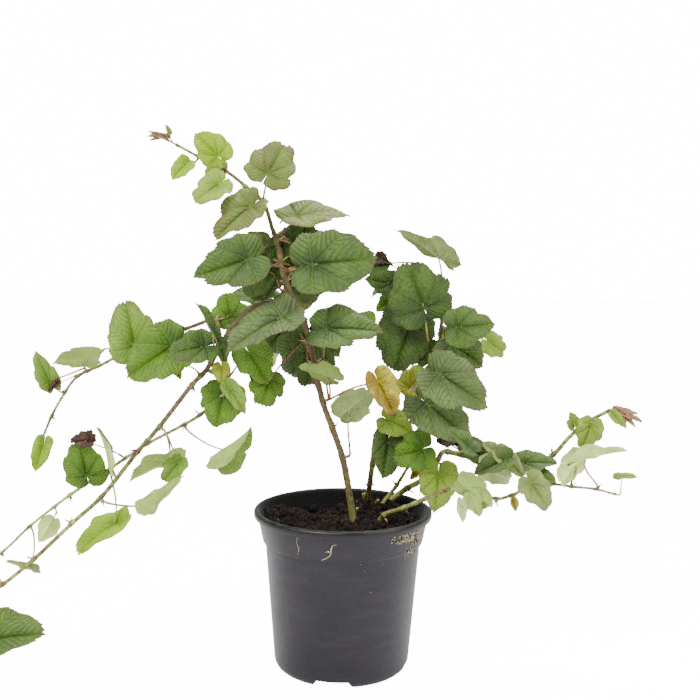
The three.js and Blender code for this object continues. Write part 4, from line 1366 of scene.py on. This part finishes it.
def bristles(name, seed):
    """Thorns set square on the bark at random places, leaning towards the foot."""
    rng = np.random.default_rng(seed)
    path, radii, numbers = cane_path(name)
    inside = numbers > 0.15
    path, radii = path[inside], radii[inside]
    along, side, across = frames(path)
    distance = lengths_along(path)
    count = int(distance[-1] * BRISTLES_PER_MM)
    i = np.searchsorted(distance, rng.uniform(0, distance[-1], count)).clip(1, len(path) - 2)
    turn = rng.uniform(0, 2 * np.pi, (count, 1))
    out = side[i] * np.cos(turn) + across[i] * np.sin(turn)
    places = path[i] + out * radii[i][:, None] * 0.9 + along[i] * rng.uniform(-0.6, 0.6, (count, 1))
    length = BRISTLE_LENGTH * rng.uniform(0.35, 1.15, (count, 1))
    width = BRISTLE_RADIUS * rng.uniform(0.6, 1.2, (count, 1))
    back = -along[i]
    axes = np.stack([back * width * 1.6, np.cross(out, back) * width, out * length], axis=1)
    return scattered(*bristle_template(), places, axes)


def bristle_skin():
    """Red thorns, browner in patches."""
    material, tree, shader = new_material("bristle_red", Roughness=0.5)
    patches = place_group(tree, "grain", Vector=object_place(tree), Patch_Scale=300.0)["Patches"]
    colour = mixed(tree, patches, linear(112, 62, 46), linear(150, 104, 70))
    feed(tree, shader.inputs["Base Color"], colour)
    return material


all_bristles = join([bristles(name, 60 + seed) for seed, name in enumerate(CANES)])
make_piece("cane_bristles", all_bristles, [bristle_skin()])
print("bristles:", len(all_bristles.points) // len(bristle_template()[0]))

# %% [markdown]
# ## The leaves
#
# A blade is a heart with three shallow lobes and a saw-toothed edge. Its halves rise from
# the midrib, its tip droops, and the veins are pressed into it so that it puckers between
# them. Cards with a picture of a leaf are the usual shortcut; here each blade is a real
# surface. It is drawn on a fan: columns are rays from the joint, rings are shares of the way
# to the edge, and every second ray ends in a tooth. Two such sheets, a third of a millimetre
# apart and joined round the rim, are one closed blade.

# %% Blade outline
# Angle from the tip in degrees, and distance from joint to edge as a share of blade length.
# A pointed kind has a corner added at its tip.
BLADE_EDGE = [
    (0, 0.93), (12, 0.91), (24, 0.84), (42, 0.745), (62, 0.67), (84, 0.61), (106, 0.56),
    (130, 0.47), (154, 0.37), (174, 0.27),
]
TIP_CORNER, TIP_BREADTH = 0.07, 9  # its height as a share, and its breadth in degrees
SINUS = 178                        # the last ray, beside the notch where the stalk joins
LOBE_NOTCHES = [(36, 7, 0.09), (78, 8, 0.07)]    # angle, width and depth of each notch
EDGE_WAVES = [(5, 0.022), (9, 0.018), (15, 0.012)]    # how many round the edge, and how high
UNEVEN = 0.035                     # how much longer one half may be than the other
TOOTH, LARGER_TOOTH = 0.02, 0.038  # shares of the reach
BLADE_THICKNESS = 0.36
print("edge knots:", len(BLADE_EDGE))

# %% Kinds of blade
# width: stretches the blade across its midrib. fold: degrees that each half rises. droop:
# how far the tip bends down. dish: how far it bulges between its ribs. quilt: depth of the
# puckering. point: 1 for a sharp tip, 0 for a round one. ripple: waving of the surface.
# torn: how many times deeper than usual the edge's own waves are.
TRAITS = ("width", "fold", "droop", "dish", "quilt", "point", "ripple", "torn")
KINDS = {
    kind: dict(zip(TRAITS, row)) for kind, *row in [
        ("old", 0.8, 12, 0.16, 0.1, 1.0, 0.8, 1.0, 1),
        ("young", 0.84, 16, 0.1, 0.08, 0.8, 0.5, 1.2, 1),
        ("round", 1.06, 8, 0.08, 0.09, 1.0, 0.0, 1.2, 1),
        ("broad", 0.93, 10, 0.14, 0.11, 1.1, 0.2, 1.0, 1),
        ("slim", 0.56, 20, 0.14, 0.06, 0.8, 1.0, 1.5, 1),
        ("folded", 0.8, 58, 0.18, 0.05, 0.8, 0.6, 1.2, 1),
        ("dying", 0.62, 50, 0.34, 0.12, 1.6, 0.8, 2.6, 1),
        ("crisp", 0.85, 34, 0.5, 0.1, 2.0, 0.4, 4.0, 5),
        ("bud", 0.3, 46, -0.12, 0.0, 0.5, 1.0, 0.6, 1),
    ]
}
STEEPEST_FOLD = 50                 # a blade folded further closes by growing narrower


def blade_axes(way, turn):
    """The midrib's way, the upper face's way and the way across. The face starts square to
    the midrib and as near to the front as it can, and is turned towards the sky."""
    along = unit(np.array(way, float))
    front = unit(FRONT - along * (FRONT @ along))
    rise = np.cross(front, along)
    if rise[2] + rise[0] / 3 < 0:
        rise = -rise
    face = front * math.cos(math.radians(turn)) + rise * math.sin(math.radians(turn))
    return along, face, np.cross(face, along)


print("kinds of blade:", ", ".join(KINDS))


# %% Blade surface
def beside_rib(s, w):
    """For each point of the blade its distance along the rib that it belongs to, and beside
    it, by the veins group's rule."""
    distance, turn = np.hypot(s, w), np.abs(np.arctan2(w, s))
    first, second = (math.radians(angle) for angle in RIB_FAN)
    off = turn - first * (turn > first * RIB_HOLD) - second * (turn > first + second * RIB_HOLD)
    return distance * np.cos(off), np.abs(distance * np.sin(off))


PUCKER_HEIGHT, GROOVE_DEPTH = 0.012, 0.017    # shares of the blade's length


def relief(s, w, share, shape):
    """What rises and sinks within a blade. It bulges between its ribs as the sine of the way
    from one to the next, puckers between its veins as the sine of their count, and has a
    groove along each rib, which narrows like a bell."""
    distance, turn = np.hypot(s, w), np.degrees(np.abs(np.arctan2(w, s)))
    first, second = RIB_FAN
    knots = [0, first, first + second, 180]
    way_on = np.interp(turn, knots, [0, 1, 2, 3])
    bulge = shape["dish"] * np.abs(np.sin(np.pi * way_on)) ** 0.8
    bulge = bulge * distance * np.exp(-distance / 0.9)
    along, beside = beside_rib(s, w)
    veins = (along - beside * (VEIN_LEAN + VEIN_CURVE * beside)) / VEIN_SPACING
    pucker = np.abs(np.sin(np.pi * veins)) ** 0.7 * (1 - np.exp(-beside / 0.04))
    groove = np.exp(-((beside / 0.026) ** 2)) * (1 - share**3)
    puckered = PUCKER_HEIGHT * pucker * (1 - share**6) - GROOVE_DEPTH * groove
    return bulge + shape["quilt"] * puckered


def blade_edge(shape, place, columns, rng):
    """Reach of each ray: the smooth curve through the edge knots, with a corner at the tip,
    one half a little longer, times 1 plus waves, deep ones where it is torn, times 1 less a
    bell at each lobe notch. Teeth are shares of the reach: every second ray is a tooth, and
    larger ones come in turn."""
    angle = np.abs(place) * SINUS
    edge = through(BLADE_EDGE, angle) + TIP_CORNER * shape["point"] / np.exp(angle / TIP_BREADTH)
    edge = edge * (1 + UNEVEN * rng.normal() * np.sin(np.radians(place * SINUS)))
    for waves_round, height in EDGE_WAVES:
        turn = waves_round * place * np.pi + rng.uniform(0, 2 * np.pi)
        edge = edge * (1 + height * shape["torn"] * np.sin(turn))
    for notch, width, depth in LOBE_NOTCHES:
        for sign in (-1, 1):
            middle = sign * (notch + rng.normal(0, 4))
            bell = rng.uniform(0.4, 1.5) * depth / np.exp(((place * SINUS - middle) / width) ** 2)
            edge = edge * (1 - bell)
    number = np.arange(columns)
    large = np.abs(np.sin(number * np.pi / 9 + rng.uniform(0, 3)))
    teeth = np.where(number % 2 == 0, TOOTH, -TOOTH) + LARGER_TOOTH * (large - 0.6)
    teeth = teeth * np.clip((1 - np.abs(place)) * 9, 0, 1) * rng.uniform(0.5, 1.5, columns)
    return edge, teeth


def blade_surface(kind, rings, columns, rng):
    """Places on the fan as (s, w, lift), in shares of the blade's length. Lift is the fold,
    steepest beside the midrib, less the droop, which grows as s times |s|, plus the relief,
    a slow ripple that grows towards the edge, a bow, a twist and a curl at the rim."""
    shape = KINDS[kind]
    place = np.linspace(-1, 1, columns)
    share = np.linspace(0, 1, rings + 1)[1:, None] ** 0.9
    edge, teeth = blade_edge(shape, place, columns, rng)
    inner = (np.arange(columns) % 2 == 0) & (np.abs(place) > 0.01)
    lean = np.where(inner, -0.7 * np.sign(place) * 2 / columns, 0)
    angle = np.radians((place + lean * share**8) * SINUS)
    reach = share * edge * (1 + teeth * share**9)
    s, flat = reach * np.cos(angle), reach * np.sin(angle)
    w = flat * shape["width"]
    rise = min(shape["fold"], STEEPEST_FOLD)
    narrow = math.cos(math.radians(shape["fold"])) / math.cos(math.radians(rise))
    fold = math.tan(math.radians(rise)) * np.abs(w) + 0.035 * (1 - np.exp(-((w / 0.09) ** 2)))
    waving = np.sin(angle * rng.uniform(3, 4.5) + rng.uniform(0, 6)) + 0.6 * np.sin(
        angle * rng.uniform(6, 9) + rng.uniform(0, 6))
    ripple = 0.028 * shape["ripple"] * share**2 * waving
    bow = -rng.uniform(0.12, 0.4) * w**2 - rng.uniform(0.01, 0.05) * share**7
    twist = rng.normal(0, 0.16) * s * w
    droop = shape["droop"] * s * np.abs(s)
    lift = fold - droop + relief(s, flat, share, shape) + ripple + bow + twist
    return np.stack([s, w * narrow, lift], axis=-1), flat, share + np.zeros(columns)

# %% Closed blades
# Rings and rays of a blade longer than so many millimetres.
BLADE_GRIDS = [(36, 28, 121), (19, 18, 81), (0, 10, 41)]


def blade(leaf, finishes, rng):
    """Upper and lower sheets a thickness apart, thinner towards the edge, and a rim between
    them. The joint is one point of each sheet, where the first ring's fan closes. Each point
    carries its place in the blade: along the midrib, across it, and the share of the way to
    the edge."""
    kind, _, *numbers, turn = leaf
    joint, way = np.array(numbers[:3], float), numbers[3:6]
    size = float(np.linalg.norm(way))
    rings, columns = next(grid for least, *grid in BLADE_GRIDS if size > least)
    along, face, across = blade_axes(way, turn)
    surface, flat, share = blade_surface(kind, rings, columns, rng)
    upper = joint + size * (surface @ np.array([along, across, face]))
    thickness = BLADE_THICKNESS * (1 - 0.5 * share**3)
    lower = upper - thickness[..., None] * face
    points = np.concatenate([
        [joint], upper.reshape(-1, 3), [joint - BLADE_THICKNESS * face], lower.reshape(-1, 3)
    ])
    under = 1 + rings * columns
    i, k = np.meshgrid(np.arange(rings - 1), np.arange(columns - 1), indexing="ij")
    a = 1 + i * columns + k
    quads = np.stack([a, a + columns, a + columns + 1, a + 1], axis=-1).reshape(-1, 4)
    k = np.arange(columns - 1)
    fan = np.stack([np.zeros(columns - 1, int), 1 + k, 2 + k], axis=-1)
    last = np.arange(1, columns)
    outer = 1 + (rings - 1) * columns
    loop = np.concatenate([
        [0], 1 + np.arange(rings) * columns, outer + last,
        (columns + np.arange(rings - 1) * columns)[::-1],
    ])
    after = np.roll(loop, -1)
    rim = np.stack([loop, loop + under, after + under, after], axis=-1)
    top, bottom = finishes
    coordinates = np.stack([surface[..., 0], flat, share], axis=-1).reshape(-1, 3)
    middle = np.zeros((1, 3))
    return Shape(
        points,
        [(fan, top), (quads, top), (fan[:, ::-1] + under, bottom), (quads[:, ::-1] + under, bottom),
         (rim, top)],
        blade=np.concatenate([middle, coordinates, middle, coordinates]),
    )


print("points in the largest blades:", 2 * (1 + BLADE_GRIDS[0][1] * BLADE_GRIDS[0][2]))

# %% [markdown]
# ## Leaf colours
#
# Old leaves are deep or greyed, young ones fresh and dying ones yellow, and each has a dark
# heart that is partly painted shade, sunken veins darkened with painted shade, ridges paled
# with a painted highlight and a browned margin. A picture of a leaf would repeat itself. So a
# tone is one row of a table, and each row makes two materials, for the upper side and for
# the felted underside, that follow the veins of every blade.

# %% Leaf finishes
# Family, then the colours of the blade half way out, at its heart, which also colours the
# painted shade along its veins, towards its edge, which also colours the painted highlight
# on its ridges and its painted sheen, in its blotches and at its rim, how blotched it is,
# and the felt of its underside.
TONES = {
    "deep": ("old", (64, 92, 24), (22, 40, 10), (92, 120, 44), (52, 64, 34),
             (76, 66, 46), 0.45, (102, 112, 58)),
    "mid": ("old", (66, 96, 28), (24, 46, 13), (108, 138, 58), (66, 82, 44),
            (96, 80, 58), 0.4, (138, 160, 80)),
    "grey": ("old", (72, 102, 36), (28, 52, 18), (122, 146, 78), (78, 82, 50),
             (94, 74, 62), 0.45, (150, 170, 102)),
    "pale": ("old", (126, 146, 66), (76, 102, 36), (166, 180, 112), (120, 128, 74),
             (132, 110, 84), 0.35, (220, 242, 140)),
    "dusky": ("old", (96, 122, 38), (58, 88, 26), (130, 154, 66), (110, 96, 60),
              (114, 80, 70), 0.6, (150, 160, 110)),
    "lush": ("young", (79, 119, 20), (34, 70, 13), (122, 160, 44), (74, 102, 28),
             (90, 90, 38), 0.4, (184, 210, 108)),
    "grass": ("young", (116, 152, 44), (64, 104, 26), (158, 188, 82), (104, 134, 46),
              (112, 106, 54), 0.4, (168, 194, 98)),
    "fresh": ("young", (138, 168, 46), (88, 126, 26), (172, 196, 82), (128, 150, 54),
              (134, 112, 60), 0.35, (222, 236, 160)),
    "lime": ("young", (146, 184, 26), (98, 144, 16), (170, 204, 50), (136, 164, 34),
             (134, 120, 50), 0.35, (196, 216, 112)),
    "yellow": ("dying", (150, 168, 40), (92, 120, 24), (180, 190, 60), (140, 134, 42),
               (108, 84, 42), 0.6, (178, 178, 84)),
    "ochre": ("dying", (194, 192, 54), (146, 128, 36), (212, 212, 88), (140, 106, 48),
              (80, 52, 34), 0.8, (190, 174, 84)),
    "pink": ("young", (204, 172, 126), (136, 82, 62), (214, 194, 142), (164, 110, 90),
             (140, 78, 66), 0.5, (206, 170, 130)),
    "dry": ("dying", (86, 58, 44), (50, 30, 26), (132, 98, 72), (40, 24, 22),
            (30, 20, 18), 0.9, (96, 68, 54)),
}
print("tones:", ", ".join(TONES))

# %% Leaf materials
VEIN_SHOW = 0.9                    # how much the painted shade in the veins and the painted highlight on the ridges show


def leaf_grounds(tree, patch_scale, grain_scale):
    """Where a point is on the plant, with the vein masks and the grain there."""
    place = object_place(tree)
    blade_place = add_node(tree, "ShaderNodeAttribute", attribute_name="blade").outputs["Vector"]
    veins = place_group(tree, "veins", Blade=blade_place, Place=place)
    scales = {"Patch_Scale": patch_scale, "Grain_Scale": grain_scale}
    return place, veins, place_group(tree, "grain", Vector=place, **scales)


def leaf_top(name, middle, heart_and_shade, edge, blotch, rim, blotchy):
    """The upper side: darker at its heart, partly its own deeper green and partly painted shade,
    with painted shade along its veins, and paler towards its edge, partly a yellower tone and
    partly a painted sheen. The ridges between the veins carry a painted highlight, more in some
    places than in others. Blotches follow the noise, the margin is browned, and a soft gloss
    lies on it."""
    material, tree, shader = new_material(name, Specular_IOR_Level=0.3)
    place, veins, grain = leaf_grounds(tree, 62.0, 1300.0)
    patches = grain["Patches"]
    broad = span(tree, noise(tree, place, 26.0, 2.0), 0.35, 0.65, 0.35, 1.0)
    mottle = span(tree, noise(tree, place, 330.0, 3.0, 0.6), 0.42, 0.68)
    relief_shading = times(tree, broad, VEIN_SHOW)
    edgeward = minus(tree, 1.0, veins["Heart"])
    # paler towards the edge: partly a yellower tone, partly a painted sheen
    edge_tone_and_sheen = times(tree, edgeward, calculate(tree, "MULTIPLY_ADD", patches, -0.35, 0.5))
    # painted highlight: the ridges between the veins are made paler
    ridge_highlight = times(tree, veins["Quilt"], relief_shading)
    colour = mixed(tree, larger(tree, ridge_highlight, edge_tone_and_sheen), linear(*middle), linear(*edge))
    # painted shade: the sunken veins and cross veins are made darker
    lines = larger(tree, veins["Veins"], times(tree, veins["Rungs"], 0.5))
    lines = times(tree, lines, times(tree, relief_shading, 0.7))
    # darker at the heart: partly the leaf's own deeper green, partly painted shade where the blade
    # dips to its joint
    dark = times(tree, veins["Heart"], calculate(tree, "MULTIPLY_ADD", patches, 0.5, 0.4))
    # painted shade of the veins and the heart, with a random mottle, darkens towards the heart
    # colour
    sunk = larger(tree, larger(tree, lines, dark), times(tree, mottle, 0.4))
    colour = mixed(tree, sunk, colour, linear(*heart_and_shade))
    blotches = times(tree, larger(tree, patches, times(tree, mottle, 0.9)), blotchy)
    colour = mixed(tree, blotches, colour, linear(*blotch))
    colour = mixed(tree, times(tree, veins["Ribs"], 0.3), colour, linear(*edge))
    browned = calculate(tree, "MULTIPLY_ADD", patches, 0.55, 0.15)
    colour = mixed(tree, times(tree, veins["Margin"], browned), colour, linear(*rim))
    rough = span(tree, grain["Grain"], 0, 1, 0.46, 0.62)
    height = plus(tree, veins["Quilt"], times(tree, noise(tree, place, 640.0, 2.0), 1.1))
    dress(tree, shader, colour, rough, height, 0.0009, 0.6)
    return material


def leaf_underside(name, felt_colour):
    """The underside: pale felt, a little darker in patches and between the veins, which are
    paler and stand out."""
    material, tree, shader = new_material(name, Specular_IOR_Level=0.15)
    _, veins, grain = leaf_grounds(tree, 90.0, 2200.0)
    felt = np.array(felt_colour)
    colour = mixed(tree, grain["Patches"], linear(*felt), linear(*(felt * 0.88)))
    colour = mixed(tree, times(tree, veins["Quilt"], 0.2), colour, linear(*(felt * 0.86)))
    lines = larger(tree, times(tree, veins["Veins"], 0.5), veins["Ribs"])
    colour = mixed(tree, times(tree, lines, 0.4), colour, linear(*(felt * 0.7 + 62)))
    rough = span(tree, grain["Grain"], 0, 1, 0.8, 0.95)
    height = minus(tree, lines, times(tree, veins["Quilt"], 0.6))
    dress(tree, shader, colour, rough, height, 0.0005, 0.6)
    return material


TOPS = {tone: leaf_top(f"leaf_{tone}", *colours) for tone, (_, *colours, _) in TONES.items()}
BACKS = {tone: leaf_underside(f"leaf_underside_{tone}", looks[-1]) for tone, looks in TONES.items()}
print("leaf finishes:", len(TOPS) + len(BACKS))

# %% Leaves of every cane
BUD_FAN = [(0, 1.0), (-17, 0.86), (15, 0.78), (-34, 0.5)]    # degrees off its way, and length
TUFT_DEPTH = 12                    # how far back a leaflet square to the bud's way would lie
# A piece keeps under 200,000 triangles. Past so many leaves a second piece holds the
# rest, which are mostly deep in the crown.
LEAVES_A_PIECE = 16


def opened(leaf):
    """A bud is a tuft of folded leaflets that fan out from one point, seen from the front.
    Any other leaf is itself alone."""
    if leaf[0] != "bud":
        return [leaf]
    kind, tone, x, y, z, dx, dy, dz, turn = leaf
    tuft = []
    for degrees, length in BUD_FAN:
        c, s = math.cos(math.radians(degrees)) * length, math.sin(math.radians(degrees)) * length
        way = (c * dx - s * dz, dy + s * TUFT_DEPTH, s * dx + c * dz)
        tuft.append((kind, tone, x, y, z, *way, turn + degrees))
    return tuft


for cane_number, (name, groups) in enumerate(LEAVES.items()):
    nodes = [f"{name}_leaves_{k + 1}" for k in range(len(groups))]
    families = {}
    for group_number, (_, *leaves) in enumerate(GROWTH[name]):
        for leaf_number, leaf in enumerate(leaves):
            rng = np.random.default_rng((cane_number, group_number, leaf_number))
            for one in opened(leaf):
                families.setdefault(TONES[leaf[1]][0], []).append((one, rng))
    for family, leaves in families.items():
        for start in range(0, len(leaves), LEAVES_A_PIECE):
            batch = leaves[start:start + LEAVES_A_PIECE]
            tones = sorted({leaf[1] for leaf, _ in batch})
            materials = [TOPS[tone] for tone in tones] + [BACKS[tone] for tone in tones]
            blades = [
                blade(leaf, (tones.index(leaf[1]), len(tones) + tones.index(leaf[1])), rng)
                for leaf, rng in batch
            ]
            piece_name = f"{name}_{family}_leaves" + ("_inner" if start else "")
            make_piece(piece_name, join(blades), materials, nodes, crease=55)
print("leaf triangles:", sum(count for name, count in made.items() if "leaves" in name))

# %% [markdown]
# ## Stalks, stipules and tips
#
# Every blade hangs on a thin red-green stalk that leaves the cane square, swings towards the
# blade and runs on under the midrib. Beside it stand two small pale stipules, which cling to
# the joint after they dry.

# %% Stalks
STALK_ROOT, STALK_TIP, STALK_SIDES = 1.05, 0.66, 8    # radii and sides
STALK_SUNK = 4                     # how far it runs on under the midrib
STALK_STEP = 1.6


def stalk(start, out, leaf, wood, rng):
    """From inside the cane a straight spur, then a cubic curve that starts along the spur's
    way and arrives half way between its own way and the midrib's."""
    joint, way, turn = np.array(leaf[2:5], float), leaf[5:8], leaf[8]
    along, face, _ = blade_axes(way, turn)
    size = np.linalg.norm(way)
    spur = min(SPUR, np.linalg.norm(start - joint) / 3)
    bend = start + out * spur
    reach = np.linalg.norm(bend - joint)
    end = joint + along * min(STALK_SUNK, size / 4) - face * BLADE_THICKNESS
    arrive = unit(unit(joint - bend) + along)
    knots = [bend, bend + out * min(SWING, reach / 3), end - arrive * reach / 3, end]
    steps = max(8, int(reach / STALK_STEP))
    t = np.linspace(0, 1, steps)[:, None]
    weights = [(1 - t) ** 3, 3 * t * (1 - t) ** 2, 3 * t**2 * (1 - t), t**3]
    curve = sum(weight * knot for weight, knot in zip(weights, knots))
    path = np.concatenate([[start - out * 1.5, start + out * spur / 2], curve])
    share = lengths_along(path)
    share = share / share[-1]
    thin = min(1.0, 0.55 + size / 70)
    radii = (STALK_ROOT + (STALK_TIP - STALK_ROOT) * share) * thin
    radii = radii * (1 + 0.35 / np.exp(share * reach / 1.5)) * np.where(share > 0.97, 0.7, 1)
    age = 0.1 + 0.5 * wood - 0.2 * share + rng.normal(0, 0.06)
    turns = full_turn(STALK_SIDES)
    groove = -0.12 * np.exp(-((turns - np.pi) ** 2)) + 0.05 * waves(path[:, None], 3, 5)
    return tube(path, radii, STALK_SIDES, groove, age=np.clip(age, 0, 1))


STALK_AGES = [
    (0.0, (176, 172, 108)), (0.3, (160, 130, 86)), (0.6, (130, 82, 58)), (1.0, (92, 54, 42)),
]
stalk_skin = bark("leaf_stalk", STALK_AGES, 0.55)
for cane_number, name in enumerate(GROWTH):
    rng = np.random.default_rng(100 + cane_number)
    stalks = [
        stalk(*SPRINGS[name, number], leaf, CANES[name]["age"][0], rng)
        for number, *leaves in GROWTH[name] for leaf in leaves
    ]
    make_piece(f"{name}_stalks", join(stalks), [stalk_skin])
print("stalks:", sum(made[f"{name}_stalks"] for name in LEAVES), "triangles")

# %% Stipules
STIPULE_LENGTH = 6.5
LANCE_RINGS, LANCE_SIDES, LANCE_FLATNESS = 8, 6, 0.2
LOWEST_STUB = 4                    # below this joint only the main cane keeps old stalk stubs


def lance(start, way, face, length, width, age, bend):
    """A flat lance: a tube squeezed to a fifth, widest at a third of its length, that bends
    away towards its face."""
    t = np.linspace(0, 1, LANCE_RINGS)
    path = start + length * (t[:, None] * way + bend * t[:, None] ** 2 * face)
    radii = np.maximum(width * np.sin(np.pi * t**0.6) ** 0.8, 0.06)
    along, _, _ = frames(path)
    side = unit(face - along * (along @ face)[:, None])
    across = np.cross(along, side)
    turns = full_turn(LANCE_SIDES)[:, None]
    ring = LANCE_FLATNESS * np.cos(turns) * side[:, None] + np.sin(turns) * across[:, None]
    rings = path[:, None] + radii[:, None, None] * ring
    return closed_rings(rings, path[0], path[-1], age=np.full(LANCE_RINGS, age))


def joint_stipules(start, out, along, radius, rng):
    """Two slim scales beside a stalk's root, and a broader dry one that hugs the cane."""
    across = np.cross(along, out)
    scales = []
    for sign in (-1, 1):
        sideways, onward = rng.uniform(0.5, 1.1), rng.uniform(0.2, 0.9)
        way = unit(out * 0.9 + sign * across * sideways + along * onward)
        face = unit(np.cross(way, along) + 0.001)
        length = STIPULE_LENGTH * rng.uniform(0.6, 1.3)
        base = start - out * 0.7 + sign * across * radius * 0.4
        age, bend = rng.uniform(0.0, 0.4), rng.uniform(-0.3, 0.5)
        scales.append(lance(base, way, face, length, 0.85, age, bend))
    way = unit(out * 0.5 + along * rng.choice([-1, 1]) + across * rng.uniform(-0.5, 0.5))
    length, age = rng.uniform(3, 5), rng.uniform(0.2, 0.8)
    scales.append(lance(start - out * 0.6, way, out, length, 1.3, age, 0.3))
    return scales


rng = np.random.default_rng(7)
stipules = []
for (name, number), (start, out) in SPRINGS.items():
    _, along, radius = at_joint(name, number)
    stipules += joint_stipules(start, out, along, radius, rng)
spurs = []
for name in CANES:
    for number in bare_joints(name):
        place, along, radius = at_joint(name, number)
        out = unit(np.cross(along, rng.normal(size=3)))
        start = place + out * radius * 0.9
        stipules += joint_stipules(start, out, along, radius, rng)
        way = unit(out + along * rng.uniform(-0.2, 0.7))
        path = start - out * 0.6 + way * np.linspace(0, rng.uniform(2.5, 7.5), 6)[:, None]
        # Every stub is worked out, so that leaving some out changes no other random number.
        worn = tube(path, np.linspace(0.95, 0.45, 6), 6, age=np.full(6, rng.uniform(0.5, 1)))
        if number >= LOWEST_STUB or name == "main_cane":
            spurs.append(worn)
STIPULE_AGES = [
    (0.0, (160, 166, 92)), (0.3, (184, 160, 112)), (0.6, (140, 98, 66)), (1.0, (96, 66, 46)),
]
make_piece("stipules", join(stipules), [bark("dry_stipule", STIPULE_AGES, 0.75)])
make_piece("old_stalk_stubs", join(spurs), [stalk_skin])
print("stipules:", len(stipules), "old stalks:", len(spurs))

# %% [markdown]
# ## Stubs in the soil and marks on the pot
#
# Three canes were cut back, and their stubs stand in the compost: short tubes with a green
# cut top. The pot was potted up by hand, so a patch of spilled soil has dried under the rim
# on the right, and three thin roots cling to the collar. All of it could be painted on, but
# real grains and threads cast their own small shadows and stay in the exported mesh.

# %% Cut stubs
# Foot on the soil, top, and radius.
CUT_STUBS = [
    ((20, 48), (18, 44, 136), 2.0), ((24, 36), (31, 34, 133), 1.5), ((14, 22), (12, 20, 129), 1.3),
]
# Share of the way up, and girth there: a narrow lip where it was cut.
STUB_GIRTHS = [(0, 1.1), (0.3, 1), (0.6, 0.95), (0.9, 1), (0.985, 0.95), (1, 0.8)]


def cut_stub(foot, top, radius):
    """A straight tube from under the soil to the cut, older towards its foot."""
    low = np.array([*foot, soil_height(*foot) - 4])
    share, girth = np.array(STUB_GIRTHS).T
    path = low + share[:, None] * (np.array(top, float) - low)
    return tube(path, radius * girth, 12, age=np.clip(1.2 - share, 0, 1))


make_piece("cut_stubs", join([cut_stub(*stub) for stub in CUT_STUBS]), [cane_bark])
print("cut stubs:", len(CUT_STUBS))

# %% Marks on the collar
# Thin roots: radius of the thread, and its points as bearing in degrees and height.
CLINGING_ROOTS = [
    (0.5, [(-93.5, 122.8), (-96, 122), (-97, 118), (-97.6, 114), (-100, 111.5), (-103.5, 109.2)]),
    (0.4, [(-97.4, 116), (-98.8, 117), (-100.5, 116)]),
    (0.2, [(-118, 124.5), (-119.5, 126), (-120.5, 121), (-119.5, 116), (-121, 111)]),
]
# Dried soil: count, bearings from and to, heights from and to, and the largest grain.
DRIED_PATCHES = [
    (190, (-57, -27), (119, 126.5), 1.3),
    (90, (-43, -28), (104, 120), 1.2),
    (26, (-80, -20), (60, 118), 0.5),
]
DARK_SHARE = 5                     # pale grains to each dark one


def on_wall(bearing, height, off=0.0):
    """A point outside the pot at a bearing and a height, some way off its surface."""
    (low_radius, low), (high_radius, high) = COLLAR
    slope = (WALL_TOP[0] - POT_FOOT) / WALL_TOP[1]
    collar = low_radius + (high_radius - low_radius) * (height - low) / (high - low)
    wall = POT_FOOT + slope * height
    radius = np.where(height > low, collar, wall) + off
    turn = np.radians(bearing)
    return np.stack([radius * np.cos(turn), radius * np.sin(turn), height + 0 * turn], axis=-1)


def clinging_root(radius, knots):
    """A thread along a spline through its points, half sunk in the wall, thinner at its ends."""
    bearing, height = np.array(knots, float).T
    numbers = np.linspace(0, len(knots) - 1, 6 * len(knots))
    path = spline(on_wall(bearing, height, radius * 0.3), numbers)
    thick = radius * (0.35 + 0.65 * np.sin(np.linspace(0.25, np.pi - 0.25, len(path))))
    return tube(path, thick, 6)


def dried_grains(rng, count, bearings, heights, largest):
    """Grains that cling to the wall, thicker towards the middle of their patch."""
    bearing = np.interp(rng.beta(1.6, 1.6, count), (0, 1), bearings)
    height = np.interp(rng.beta(1.2, 1.0, count), (0, 1), heights)
    size = largest * (0.2 + 0.8 * rng.uniform(0, 1, count) ** 2.5)
    axes = turned(rng, count) * (size[:, None] * rng.uniform(0.5, 1.1, (count, 3)))[:, :, None]
    return scattered(LUMP_POINTS, [LUMP_FACES], on_wall(bearing, height, size * 0.3), axes)


rng = np.random.default_rng(44)
pale = join([dried_grains(rng, *patch) for patch in DRIED_PATCHES])
dark = join([
    dried_grains(rng, count // DARK_SHARE, *patch) for count, *patch in DRIED_PATCHES
])
roots = join([clinging_root(*root) for root in CLINGING_ROOTS])
WALL_MARKS = [
    ("clinging_roots", roots, ("washed_root", (150, 140, 104), (206, 196, 164), 0.85)),
    ("dried_soil", pale, ("dried_soil", (150, 134, 110), (206, 192, 168), 0.9, 400.0)),
    ("dark_grains", dark, ("dark_grains", (30, 20, 16), (84, 58, 44), 0.9, 400.0)),
]
for name, shape, looks in WALL_MARKS:
    make_piece(name, shape, [earth(*looks)])
print("grains on the pot:", (len(pale.points) + len(dark.points)) // len(LUMP_POINTS))

# %% Finish
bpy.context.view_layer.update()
print("triangles in all:", sum(made.values()), "in", len(made), "pieces")
